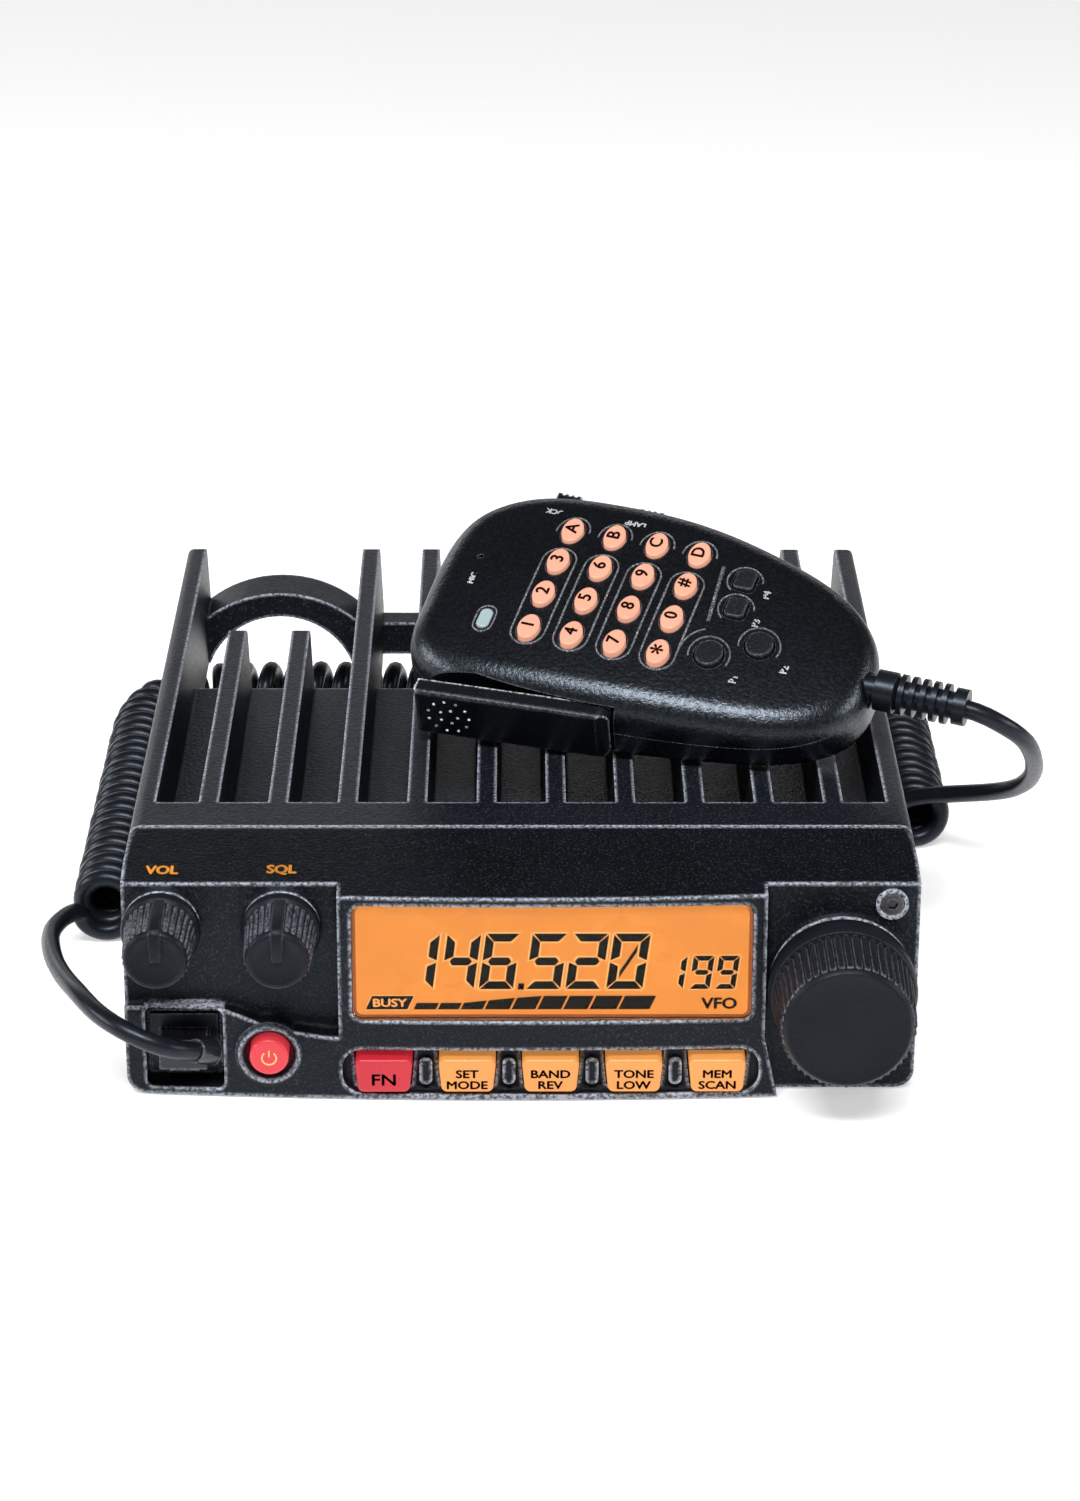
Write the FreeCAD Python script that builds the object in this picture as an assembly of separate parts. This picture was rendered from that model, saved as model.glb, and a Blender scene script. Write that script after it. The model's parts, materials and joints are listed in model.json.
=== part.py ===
import FreeCAD, Part
import math
import os

# Mobile transceiver with its hand microphone lying on the cooling fins, millimetres.
# The pieces are drawn about a datum on the front panel: X to the right, Y to the back, Z up from the
# surface that the set stands on. save() moves them so that the part's origin is the middle of its footprint.

# ---- driving dimensions of the set ----
HALF_WIDTH = 80.1
HEIGHT = 50.0
DEPTH = 185.0
REAR_WALL_Y = 131.6
BAND_FRONT_Y = 21.0
BAND_REAR_Y = 33.0
PANEL_Y = 1.0
PANEL_BACK_Y = 20.9
PANEL_BOW_FRONT = -4.4
PANEL_BOW_RADIUS = 909.0
PANEL_FLOOR_Z = 0.5
HOOD_SLOPE = 0.18
COVER_THICKNESS = 1.2
WALL = 6.0
FIN_COUNT = 12
FIN_PITCH = 14.35
FIN_TOP_WIDTH = 4.1
FIN_ROOT_WIDTH = 5.5
END_FIN_EXTRA = 1.4
FIN_FLOOR_Z = 35.0
FIN_LOWER_Z = 25.0
SHORT_FINS = (2, 3)
ARCH_X = -57.4
ARCH_FRONT_Y = 172.0
ARCH_INNER_RADIUS = 18.0
ARCH_OUTER_RADIUS = 28.0
ARCH_INNER_Z = 19.0
ARCH_TOP_Z = 42.8
ANTENNA_Z = 19.0
BRACKET_HOLE_RADIUS = 1.65
BRACKET_HOLE_Z = 28.0
BRACKET_HOLE_Y = (50.0, 110.0)
FOOTPRINT_FRONT_Y = -21.2
INLET = (42.0, 13.0)
GRILLE_SLOTS = 9
SPEAKER_Y = 78.0
SPEAKER_RADIUS = 28.0

# ---- front panel ----
WINDOW = (-33.9, 46.3, 18.3, 43.5)
WINDOW_CORNER = 2.0
TROUGH = (-36.2, 48.2, 1.6, 11.7)
TROUGH_Y = -1.4
KEY_PITCH = 16.87
KEY_FIRST_X = -27.8
KEY_Z = (2.6, 9.9)
KEY_WIDTHS = (10.4, 11.8)
KEY_FRONT_Y = -5.2
VOLUME_X = -72.1
SQUELCH_X = -48.1
KNOB_Z = 37.4
SPINDLE_END_Y = 12.3
DIAL_X = 64.6
DIAL_Z = 24.8
POWER_X = -50.9
POWER_Z = 10.4
JACK = (-76.0, -60.2, 20.0)
JACK_FACE_Y = 4.0
JACK_SILL_Z = 2.0
PLUG_X = -68.5
PLUG_Z = 9.6
SCREW_X = 74.4
SCREW_Z = 42.0

# ---- hand microphone: u along it to the cord end, v across it to the back, n out of its face ----
HANDSET_CENTRE = (19.9, 75.9, 80.75)
HANDSET_YAW = -18.9
HANDSET_PITCH = 4.84
HANDSET_ROLL = 25.5
FACE_RADIUS = 230.0
FACE_CENTRE_U = 4.0
PARTING_N = -10.6
BACK_RADIUS = 62.0
BACK_N = -25.4
BACK_TAPER = 0.09
SHOULDER = 7.5
BACK_EDGE = 3.5
SHELL_INSET = 4.6
CEILING_STEP_U = 38.4
KEYPAD_PITCH_U = 9.6
KEYPAD_PITCH_V = 9.8
KEYPAD_RADII = (2.3, 3.5)
KEY_GAP = 0.33
# The outline seen from above the face, then the keypad's rows and the other keys' places and half sizes.
OUTLINE = ((-41.6, -12.0), (-41.9, 6.0), (-38.6, 19.5), (-28.5, 27.4), (-10.0, 29.6), (12.0, 28.3),
           (33.0, 23.4), (48.5, 16.6), (56.2, 7.6), (58.6, -3.6), (56.4, -14.8), (48.5, -22.8),
           (33.0, -27.8), (10.0, -30.3), (-14.0, -30.6), (-31.0, -28.4), (-39.4, -21.6))
KEY_NAMES = (("a", "b", "c", "d"), ("3", "6", "9", "hash"), ("2", "5", "8", "0"), ("1", "4", "7", "star"))
PROGRAM_KEYS = ((24.7, -11.6, 3.0, 3.5), (34.0, -5.7, 3.0, 3.5),
                (26.4, 2.4, 2.2, 2.8), (25.9, 10.7, 2.2, 2.8))
PTT_SPAN = (-33.6, 8.4)
PTT_FLOOR_N = -18.4
PTT_ROOF_N = -4.2
PTT_END_RADIUS = 2.6
SWITCH_U = (-19.0, 0.0)
LENS = (-24.8, -13.6)
MIC_HOLE = (-32.0, 4.0)
STUD = (-10.0, -1.0)
STUD_END_N = -31.9
SHELL_SCREWS = ((-32.0, -18.0), (-32.0, 18.0), (44.0, -3.6))
RELIEF_V = -3.6
RELIEF_N = -10.4
RELIEF_END = 78.8
RELIEF_SEAT_DEPTH = 5.9

# ---- cord ----
CORD_DIAMETER = 4.0
COIL_DIAMETER = 16.0
COIL_LEFT_X = -90.6
COIL_RIGHT_X = 91.0
COIL_LEFT_FRONT_Y = 70.0
COIL_RIGHT_FRONT_Y = 118.0
COIL_BACK_Y = 194.6
COIL_CORNER = 25.0
# The route's points about the panel datum, by hand: out of the plug, round the corner of the set and into
# the left end of the coil.
RADIO_LEAD = ((-65.6, -3.6, 11.2), (-69.3, -8.2, 13.6), (-75.2, -9.4, 16.4), (-81.3, -7.0, 18.6),
              (-86.3, -0.8, 19.0), (-90.6, 8.6, 18.6), (-94.4, 19.6, 16.2), (-97.8, 31.6, 14.2),
              (-100.0, 43.4, 12.6), (-101.0, 54.0, 10.4), (-99.6, 62.0, 9.6), (-96.6, 70.0, 8.0))
# Out of the microphone's strain relief, down beside the set and into the top of the right end of the coil.
HANDSET_LEAD = ((94.7, 51.6, 63.1), (101.0, 51.6, 59.8), (106.3, 54.6, 55.2), (109.4, 62.0, 48.6),
                (111.6, 73.5, 39.9), (112.0, 85.0, 32.3), (110.4, 96.0, 25.4), (106.0, 105.4, 20.4),
                (99.6, 112.8, 16.8), (91.0, 118.0, 14.0))

V = FreeCAD.Vector
X_AXIS = V(1, 0, 0)
Y_AXIS = V(0, 1, 0)
Z_AXIS = V(0, 0, 1)
ORIGIN_Y = (FOOTPRINT_FRONT_Y + DEPTH) / 2
HANDSET_PLACE = FreeCAD.Placement(V(*HANDSET_CENTRE),
                                  FreeCAD.Rotation(HANDSET_YAW, HANDSET_PITCH, HANDSET_ROLL))


# ---------------------------------------------------------------- helpers
def box(x0, x1, y0, y1, z0, z1):
    """A box from its lowest to its highest corner."""
    return Part.makeBox(x1 - x0, y1 - y0, z1 - z0, V(x0, y0, z0))


def rod_y(x, z, radius, y0, y1):
    """A round bar along Y."""
    return Part.makeCylinder(radius, y1 - y0, V(x, y0, z), Y_AXIS)


def rod_z(x, y, radius, z0, z1):
    """A round bar along Z."""
    return Part.makeCylinder(radius, z1 - z0, V(x, y, z0), Z_AXIS)


def prism_y(points, y0, y1):
    """A prism along Y over a closed outline of (x, z) points."""
    corners = [V(x, y0, z) for x, z in points]
    return Part.Face(Part.makePolygon(corners + corners[:1])).extrude(V(0, y1 - y0, 0))


def prism_x(points, x0, x1):
    """A prism along X over a closed outline of (y, z) points."""
    corners = [V(x0, y, z) for y, z in points]
    return Part.Face(Part.makePolygon(corners + corners[:1])).extrude(V(x1 - x0, 0, 0))


def turned_y(points, x, z):
    """A solid of revolution about the Y line through (x, z), over (radius, y) points."""
    corners = [V(x + radius, y, z) for radius, y in points]
    face = Part.Face(Part.makePolygon(corners + corners[:1]))
    return face.revolve(V(x, 0, z), Y_AXIS, 360)


def slab_y(x0, x1, z0, z1, radius, y0, y1):
    """A plate across Y with its four corners rounded."""
    plate = box(x0, x1, y0, y1, z0, z1)
    corners = [edge for edge in plate.Edges if abs(edge.tangentAt(edge.FirstParameter).y) > 0.9]
    return plate.makeFillet(radius, corners)


def toothed_y(x, z, outer, inner, teeth, y0, y1):
    """A bar along Y with V-shaped teeth round it."""
    points = []
    for index in range(2 * teeth):
        radius = outer if index % 2 == 0 else inner
        angle = math.pi * index / teeth
        points.append((x + radius * math.sin(angle), z + radius * math.cos(angle)))
    return prism_y(points, y0, y1)


def edges_along(shape, axis, near):
    """The straight edges along one axis whose middles pass a test."""
    found = []
    for edge in shape.Edges:
        straight = isinstance(edge.Curve, Part.Line)
        if straight and abs(edge.tangentAt(edge.FirstParameter).dot(axis)) > 0.99 and near(edge.CenterOfMass):
            found.append(edge)
    return found


def fused(shapes):
    """Several touching or crossing solids as one."""
    return shapes[0].multiFuse(list(shapes[1:])).removeSplitter()


def save(node, shape):
    """Write one node, moved from the panel datum to the part's origin."""
    placed = shape.copy()
    placed.translate(V(0, -ORIGIN_Y, 0))
    placed.exportStep("parts/" + node + ".step")
    solids = len(placed.Solids)
    print(f"{node:22s} valid {placed.isValid()} solids {solids} volume {placed.Volume:10.1f}")


# ---------------------------------------------------------------- chassis and cover
def fin_x(number):
    """Middle of a fin, counted from the left, from 1."""
    return (number - (FIN_COUNT + 1) / 2) * FIN_PITCH


def cooling_fin(number):
    """A drafted fin from the flat band out over the back of the set. The end fins are thicker."""
    top = FIN_TOP_WIDTH / 2
    root = FIN_ROOT_WIDTH / 2
    left = fin_x(number) - (END_FIN_EXTRA if number == FIN_COUNT else 0)
    right = fin_x(number) + (END_FIN_EXTRA if number == 1 else 0)
    outline = [(left - root, FIN_LOWER_Z), (right + root, FIN_LOWER_Z), (right + root, FIN_FLOOR_Z),
               (right + top, HEIGHT), (left - top, HEIGHT), (left - root, FIN_FLOOR_Z)]
    end = REAR_WALL_Y if number in SHORT_FINS else DEPTH
    fin = prism_y(outline, BAND_REAR_Y - 1, end)
    rear_top = edges_along(fin, X_AXIS, lambda c: c.y > end - 0.1 and c.z > HEIGHT - 0.1)
    return fin.makeFillet(2.2, rear_top)


def antenna_arch():
    """The web between the first and fourth fins, with a round way under it for the antenna cable."""
    left = fin_x(1) + 1
    right = fin_x(4) - 1
    block = box(left, right, ARCH_FRONT_Y, DEPTH, FIN_LOWER_Z, ARCH_TOP_Z)
    crown = rod_y(ARCH_X, ARCH_TOP_Z - ARCH_OUTER_RADIUS, ARCH_OUTER_RADIUS, ARCH_FRONT_Y, DEPTH)
    way = rod_y(ARCH_X, ARCH_INNER_Z, ARCH_INNER_RADIUS, ARCH_FRONT_Y - 1, DEPTH + 1)
    return block.common(crown).cut(way)


def heatsink_chassis():
    """Die-cast tub, open below and in front, with the fins on it."""
    core = box(-HALF_WIDTH, HALF_WIDTH, BAND_REAR_Y - 1, REAR_WALL_Y, COVER_THICKNESS, FIN_FLOOR_Z)
    band = box(-HALF_WIDTH, HALF_WIDTH, BAND_FRONT_Y, BAND_REAR_Y, COVER_THICKNESS, HEIGHT)
    fins = [cooling_fin(number) for number in range(1, FIN_COUNT + 1)]
    tie_bar = box(fin_x(4), fin_x(FIN_COUNT), DEPTH - 7, DEPTH, FIN_LOWER_Z, FIN_LOWER_Z + 8)
    body = fused([core, band, antenna_arch(), tie_bar] + fins)
    limit = box(-HALF_WIDTH, HALF_WIDTH, 0, DEPTH, 0, HEIGHT)
    limit = limit.makeFillet(2.6, edges_along(limit, Y_AXIS, lambda c: c.z > HEIGHT - 0.1))
    body = body.common(limit)
    inside = HALF_WIDTH - WALL
    body = body.cut(box(-inside, inside, BAND_FRONT_Y - 1, REAR_WALL_Y - 4.6, -1, FIN_FLOOR_Z - 4))
    body = body.cut(box(-inside, inside, BAND_FRONT_Y - 1, BAND_REAR_Y - 4, -1, HEIGHT - 4))
    holes = [rod_y(ARCH_X, ANTENNA_Z, 6.2, REAR_WALL_Y - 6, REAR_WALL_Y + 1)]
    inlet_x, inlet_z = INLET
    wall = (REAR_WALL_Y - 6, REAR_WALL_Y + 1)
    holes.append(box(inlet_x - 9.2, inlet_x + 9.2, *wall, inlet_z - 6.2, inlet_z + 6.2))
    for side in (-1, 1):
        for y in BRACKET_HOLE_Y:
            start = V(side * (inside - 1), y, BRACKET_HOLE_Z)
            holes.append(Part.makeCylinder(BRACKET_HOLE_RADIUS, WALL + 2, start, V(side, 0, 0)))
    for x, z in flange_screw_places():
        holes.append(rod_y(x, z, 1.3, REAR_WALL_Y - 6, REAR_WALL_Y + 1))
    for x, y in cover_screw_places():
        holes.append(rod_z(x, y, 1.25, -1, 8.5))
    return body.cut(Part.makeCompound(holes))


def cover_screw_places():
    """The case screws' places under the set."""
    edge = HALF_WIDTH - WALL / 2
    return [(side * edge, y) for side in (-1, 1) for y in (27.0, 76.0, 126.0)]


def bottom_cover():
    """Sheet cover under the set, slotted in front of the loudspeaker."""
    half_width = HALF_WIDTH - 0.4
    cover = box(-half_width, half_width, BAND_FRONT_Y + 0.2, REAR_WALL_Y - 0.3, 0, COVER_THICKNESS)
    cutters = []
    for index in range(GRILLE_SLOTS):
        y = SPEAKER_Y + (index - (GRILLE_SLOTS - 1) / 2) * 5.2
        half = math.sqrt(25.0 ** 2 - (y - SPEAKER_Y) ** 2)
        cutters.append(box(-half, half, y - 1.1, y + 1.1, -1, COVER_THICKNESS + 1))
    for x, y in cover_screw_places():
        cutters.append(Part.makeCone(2.9, 1.5, COVER_THICKNESS, V(x, y, 0), Z_AXIS))
    return cover.cut(Part.makeCompound(cutters))


def case_screws():
    """Six countersunk screws that hold the cover, alike."""
    screws = []
    for x, y in cover_screw_places():
        head = Part.makeCone(2.7, 1.4, COVER_THICKNESS - 0.1, V(x, y, 0.1), Z_AXIS)
        shank = rod_z(x, y, 1.2, COVER_THICKNESS - 0.2, 8.0)
        drive = [box(x - a, x + a, y - b, y + b, 0, 0.7) for a, b in ((1.5, 0.25), (0.25, 1.5))]
        screws.append(head.fuse(shank).cut(Part.makeCompound(drive)))
    return Part.makeCompound(screws)


# ---------------------------------------------------------------- front panel
def key_x(index):
    """Middle of a function key, counted from 0 on the left."""
    return KEY_FIRST_X + KEY_PITCH * index


def key_outline(index, grow):
    """A function key's trapezium, wider at its top, grown by a gap."""
    middle = key_x(index)
    low = KEY_WIDTHS[0] / 2 + grow
    high = KEY_WIDTHS[1] / 2 + grow
    return [(middle - low, KEY_Z[0] - grow), (middle + low, KEY_Z[0] - grow),
            (middle + high, KEY_Z[1] + grow), (middle - high, KEY_Z[1] + grow)]


def panel_mass():
    """The bowed mass that stands out of the panel: display block and lower left field."""
    right = WINDOW[1] + 2.9
    left = WINDOW[0] - 2.9
    ledge = Part.BSplineCurve()
    ledge.interpolate([V(-HALF_WIDTH - 1, PANEL_Y, 19.8), V(-70, PANEL_Y, 20.5), V(-61, PANEL_Y, 20.2),
                       V(-54, PANEL_Y, 17.6), V(-45, PANEL_Y, 15.2), V(left, PANEL_Y, 14.2)])
    corners = [V(left, PANEL_Y, 14.2), V(left, PANEL_Y, HEIGHT), V(right, PANEL_Y, HEIGHT),
               V(right, PANEL_Y, 14.0),
               V(52.0, PANEL_Y, PANEL_FLOOR_Z), V(-HALF_WIDTH - 1, PANEL_Y, PANEL_FLOOR_Z),
               V(-HALF_WIDTH - 1, PANEL_Y, 19.8)]
    sides = [Part.LineSegment(a, b).toShape() for a, b in zip(corners, corners[1:])]
    outline = Part.Wire([ledge.toShape()] + sides)
    mass = Part.Face(outline).extrude(V(0, PANEL_BOW_FRONT - 1 - PANEL_Y, 0))
    bow = rod_z(0, PANEL_BOW_FRONT + PANEL_BOW_RADIUS, PANEL_BOW_RADIUS, -5, HEIGHT + 5)
    return mass.common(bow)


def front_panel():
    """Moulded panel with its hood, display opening, key trough, jack field and control seats."""
    body = box(-HALF_WIDTH, HALF_WIDTH, PANEL_Y, PANEL_BACK_Y, PANEL_FLOOR_Z, HEIGHT)
    body = body.fuse(panel_mass()).removeSplitter()
    envelope = box(-HALF_WIDTH, HALF_WIDTH, -10, PANEL_BACK_Y, PANEL_FLOOR_Z, HEIGHT)
    low = edges_along(envelope, Y_AXIS, lambda c: c.z < 10)
    envelope = envelope.makeFillet(4.0, low)
    envelope = envelope.makeFillet(2.6, edges_along(envelope, Y_AXIS, lambda c: c.z > 40))
    front = -10.0
    drop = (PANEL_BACK_Y - front) * HOOD_SLOPE
    hood = [(PANEL_BACK_Y, HEIGHT), (front, HEIGHT - drop), (front, HEIGHT + 5), (PANEL_BACK_Y, HEIGHT + 5)]
    slope = prism_x(hood, -HALF_WIDTH - 1, HALF_WIDTH + 1)
    body = body.common(envelope).cut(slope)
    collars = []
    for x in (VOLUME_X, SQUELCH_X):
        collars.append(rod_y(x, KNOB_Z, 7.8, PANEL_Y - 1.4, PANEL_Y + 1))
    collars.append(rod_y(DIAL_X, DIAL_Z, 14.6, PANEL_Y - 1.2, PANEL_Y + 1))
    collars.append(rod_y(SCREW_X, SCREW_Z, 3.3, PANEL_Y - 0.8, PANEL_Y + 1))
    collars.append(turned_y([(0, -3.9), (6.3, -3.9), (7.0, -3.1), (7.0, 2), (0, 2)], POWER_X, POWER_Z))
    body = fused([body] + collars)
    trough = slab_y(TROUGH[0], TROUGH[1], TROUGH[2], TROUGH[3], 4.2, -10, TROUGH_Y)
    jack_field = slab_y(JACK[0], JACK[1], JACK_SILL_Z, JACK[2], 1.6, -10, JACK_FACE_Y)
    left, right, low, high = WINDOW
    window = slab_y(left - 0.15, right + 0.15, low - 0.15, high + 0.15, WINDOW_CORNER, -10, 7)
    cutters = [trough, jack_field, window]
    cutters.append(box(-HALF_WIDTH + 3.5, HALF_WIDTH - 3.5, 6, PANEL_BACK_Y + 1, 2.8, 43.0))
    cutters.append(box(PLUG_X - 7.1, PLUG_X + 7.1, JACK_FACE_Y - 1, 7, PLUG_Z - 6.7, PLUG_Z + 6.9))
    for x in (VOLUME_X, SQUELCH_X):
        cutters.append(rod_y(x, KNOB_Z, 4.6, -5, 7))
    cutters.append(rod_y(DIAL_X, DIAL_Z, 4.6, -5, 7))
    cutters.append(rod_y(SCREW_X, SCREW_Z, 2.5, -5, PANEL_Y + 0.6))
    cutters.append(rod_y(SCREW_X, SCREW_Z, 1.4, -5, 9.5))
    funnel = [(0, -5), (5.6, -5), (5.6, -3.9), (4.35, -2.2), (4.35, 7), (0, 7)]
    cutters.append(turned_y(funnel, POWER_X, POWER_Z))
    for index in range(5):
        cutters.append(prism_y(key_outline(index, 0.35), -10, 7))
    body = body.cut(Part.makeCompound(cutters))
    guides = []
    for index in range(4):
        middle = key_x(index) + KEY_PITCH / 2
        guides.append(slab_y(middle - 1.3, middle + 1.3, 3.0, 8.9, 1.25, TROUGH_Y - 1.0, TROUGH_Y + 0.5))
    return fused([body] + guides)


def display_window():
    """Clear plate over the display."""
    return slab_y(WINDOW[0], WINDOW[1], WINDOW[2], WINDOW[3], WINDOW_CORNER, -4.0, -2.6)


def lcd_panel():
    """Display glass behind the window."""
    left, right, low, high = WINDOW
    return slab_y(left + 0.2, right - 0.2, low + 0.2, high - 0.2, WINDOW_CORNER, -2.4, -0.4)


def display_board():
    """Circuit board behind the panel, cut away round the jack, with the key switches and the processor."""
    board = box(-74.5, 74.5, 13.0, 14.6, 5.0, 42.0)
    board = board.cut(box(-77, PLUG_X + 8.5, 12, 16, 4, 20))
    switches = [box(key_x(i) - 3, key_x(i) + 3, 9.6, 13.0, 5.5, 9.5) for i in range(5)]
    switches.append(box(POWER_X - 3, POWER_X + 3, 9.6, 13.0, POWER_Z - 3, POWER_Z + 3))
    return fused([board, box(-8, 8, 14.6, 16.4, 18, 34)] + switches)


def function_key(index):
    """One key of the bottom row, with its plunger."""
    cap = prism_y(key_outline(index, 0.0), KEY_FRONT_Y, 2.5)
    cap = cap.makeFillet(1.3, edges_along(cap, Y_AXIS, lambda c: True))
    middle_z = sum(KEY_Z) / 2
    front = [edge for edge in cap.Edges if edge.BoundBox.YMax < KEY_FRONT_Y + 0.01]
    cap = cap.makeFillet(0.55, front)
    return cap.fuse(box(key_x(index) - 1.5, key_x(index) + 1.5, 2.0, 8.7, middle_z - 1, middle_z + 1))


def power_button():
    """Round button in its funnel, with its plunger."""
    cap = rod_y(POWER_X, POWER_Z, 3.95, -5.0, 4.0)
    cap = cap.makeFillet(0.6, [edge for edge in cap.Edges if edge.BoundBox.YMax < -4.99])
    return cap.fuse(rod_y(POWER_X, POWER_Z, 1.6, 3.5, 8.7))


def control_knob(x):
    """Small knob with a skirt, a toothed grip, a pointer ridge and its spindle."""
    skirt = turned_y([(0, -3.6), (7.5, -3.6), (8.0, -3.0), (8.0, -1.2), (7.6, -0.8), (0, -0.8)], x, KNOB_Z)
    grip = toothed_y(x, KNOB_Z, 7.25, 6.65, 30, -14.6, -3.6)
    face = [(0, -16.2), (5.7, -16.2), (6.3, -15.7), (6.75, -14.6), (6.75, -10), (0, -10)]
    nose = turned_y(face, x, KNOB_Z)
    ridge = box(x - 1.15, x + 1.15, -16.9, -3.6, KNOB_Z - 0.3, KNOB_Z + 7.5)
    spindle = rod_y(x, KNOB_Z, 3.0, -2, SPINDLE_END_Y)
    return fused([skirt, grip, nose, ridge, spindle])


def main_dial():
    """Large tuning dial with coarse teeth and its spindle."""
    rim = [(0, -6.8), (14.4, -6.8), (15.0, -6.2), (15.0, -3.0), (14.5, -0.9), (0, -0.9)]
    skirt = turned_y(rim, DIAL_X, DIAL_Z)
    grip = toothed_y(DIAL_X, DIAL_Z, 14.2, 13.0, 48, -19.6, -6.8)
    face = [(0, -21.2), (11.6, -21.2), (12.6, -20.8), (13.2, -19.6), (13.2, -12), (0, -12)]
    nose = turned_y(face, DIAL_X, DIAL_Z)
    spindle = rod_y(DIAL_X, DIAL_Z, 3.0, -2, SPINDLE_END_Y)
    return fused([skirt, grip, nose, spindle])


def panel_controls():
    """The volume and squelch controls and the dial's encoder, behind the panel."""
    controls = []
    for case_x, x, z, half in ((VOLUME_X + 1.6, VOLUME_X, KNOB_Z, 5.0), (SQUELCH_X, SQUELCH_X, KNOB_Z, 5.0),
                               (DIAL_X, DIAL_X, DIAL_Z, 6.2)):
        case = box(case_x - half, case_x + half, 7.2, 12.9, z - half, z + half)
        bush = rod_y(x, z, 4.4, 2.0, 7.3)
        controls.append(case.fuse(bush).cut(rod_y(x, z, 3.05, 0, SPINDLE_END_Y + 0.2)))
    return Part.makeCompound(controls)


def panel_screw():
    """The hexagon-socket screw in the panel's upper right corner."""
    head = rod_y(SCREW_X, SCREW_Z, 2.3, PANEL_Y - 0.6, PANEL_Y + 0.5)
    angles = [math.pi * k / 3 for k in range(6)]
    hexagon = [(SCREW_X + 1.2 * math.cos(a), SCREW_Z + 1.2 * math.sin(a)) for a in angles]
    socket = prism_y(hexagon, PANEL_Y - 1, PANEL_Y + 0.1)
    return head.fuse(rod_y(SCREW_X, SCREW_Z, 1.35, PANEL_Y + 0.4, 9.0)).cut(socket)


def mic_socket():
    """Modular socket for the microphone's plug."""
    block = box(PLUG_X - 6.9, PLUG_X + 6.9, JACK_FACE_Y - 0.8, 19.5, PLUG_Z - 6.5, PLUG_Z + 6.7)
    mouth = box(PLUG_X - 4.95, PLUG_X + 4.95, JACK_FACE_Y - 2, 16.5, PLUG_Z - 3.4, PLUG_Z + 3.4)
    latch_way = box(PLUG_X - 3.2, PLUG_X + 3.2, JACK_FACE_Y - 2, 14.0, PLUG_Z - 5.2, PLUG_Z - 3.3)
    return block.cut(mouth).cut(latch_way)


# ---------------------------------------------------------------- rear and inside
def flange_screw_places():
    """The antenna socket flange's screws."""
    half = 9.1
    return [(ARCH_X + sx * half, ANTENNA_Z + sz * half) for sx in (-1, 1) for sz in (-1, 1)]


def antenna_socket():
    """Flanged coaxial socket with a threaded barrel and its centre contact."""
    y = REAR_WALL_Y + 0.05
    half = 12.7
    flange = slab_y(ARCH_X - half, ARCH_X + half, ANTENNA_Z - half, ANTENNA_Z + half, 2, y, y + 1.8)
    barrel = rod_y(ARCH_X, ANTENNA_Z, 7.9, y + 1.5, y + 17)
    tail = rod_y(ARCH_X, ANTENNA_Z, 6.0, y - 10, y + 0.5)
    body = fused([flange, barrel, tail]).cut(rod_y(ARCH_X, ANTENNA_Z, 6.4, y + 3, y + 18))
    contact = rod_y(ARCH_X, ANTENNA_Z, 3.0, y + 2, y + 12).cut(rod_y(ARCH_X, ANTENNA_Z, 2.0, y + 4, y + 13))
    holes = [rod_y(x, z, 1.5, y - 1, y + 3) for x, z in flange_screw_places()]
    return body.fuse(contact).cut(Part.makeCompound(holes))


def flange_screws():
    """Four pan-head screws through the antenna socket's flange, alike."""
    screws = []
    for x, z in flange_screw_places():
        head = rod_y(x, z, 2.5, REAR_WALL_Y + 1.9, REAR_WALL_Y + 3.6)
        slot = box(x - 3, x + 3, REAR_WALL_Y + 3.0, REAR_WALL_Y + 4, z - 0.3, z + 0.3)
        screws.append(head.fuse(rod_y(x, z, 1.25, REAR_WALL_Y - 5, REAR_WALL_Y + 2)).cut(slot))
    return Part.makeCompound(screws)


def power_inlet():
    """Two-way direct-current inlet in the rear wall, with its two contact wells."""
    x, z = INLET
    y = REAR_WALL_Y
    flange = slab_y(x - 11.5, x + 11.5, z - 8.0, z + 8.0, 1.5, y + 0.05, y + 2.2)
    shell = box(x - 9.0, x + 9.0, y - 10, y + 9, z - 6.0, z + 6.0)
    wells = [box(x + side - 3.4, x + side + 3.4, y - 6, y + 10, z - 4.5, z + 4.5) for side in (-4.2, 4.2)]
    blades = [box(x + side - 0.4, x + side + 0.4, y - 7, y + 6, z - 2.5, z + 2.5) for side in (-4.2, 4.2)]
    return fused([flange.fuse(shell).cut(Part.makeCompound(wells))] + blades)


def main_board():
    """Main circuit board with its larger components, on posts above the loudspeaker."""
    board = box(-72.0, 72.0, 24.0, 118.0, 18.6, 20.2)
    parts = [box(-60, -34, 40, 66, 20.2, 27.0), box(-20, 12, 34, 52, 20.2, 24.0)]
    parts.append(box(30, 58, 38, 58, 20.2, 26.0))
    cans = [rod_z(64 - 11 * i, 106, 4.2, 20.2, 29.5) for i in range(3)]
    return fused([board] + parts + cans)


def power_module():
    """Final amplifier block, bolted up against the chassis roof."""
    block = box(-34, 26, 76, 96, 23.6, 30.9)
    tabs = box(-40, 32, 81, 91, 28.9, 30.9)
    leads = [box(-24 + 11 * i, -22.8 + 11 * i, 78, 79.2, 20.2, 24) for i in range(5)]
    return fused([block, tabs] + leads)


def loudspeaker():
    """Loudspeaker over the slots of the bottom cover."""
    profile = [(0, 5.0), (6, 3.2), (24, 1.9), (SPEAKER_RADIUS, 1.4), (SPEAKER_RADIUS, 3.4), (24, 4.4)]
    profile += [(16, 9.5), (16, 16.5), (0, 16.5)]
    corners = [V(radius, SPEAKER_Y, z) for radius, z in profile]
    face = Part.Face(Part.makePolygon(corners + corners[:1]))
    return face.revolve(V(0, SPEAKER_Y, 0), Z_AXIS, 360)


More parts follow.
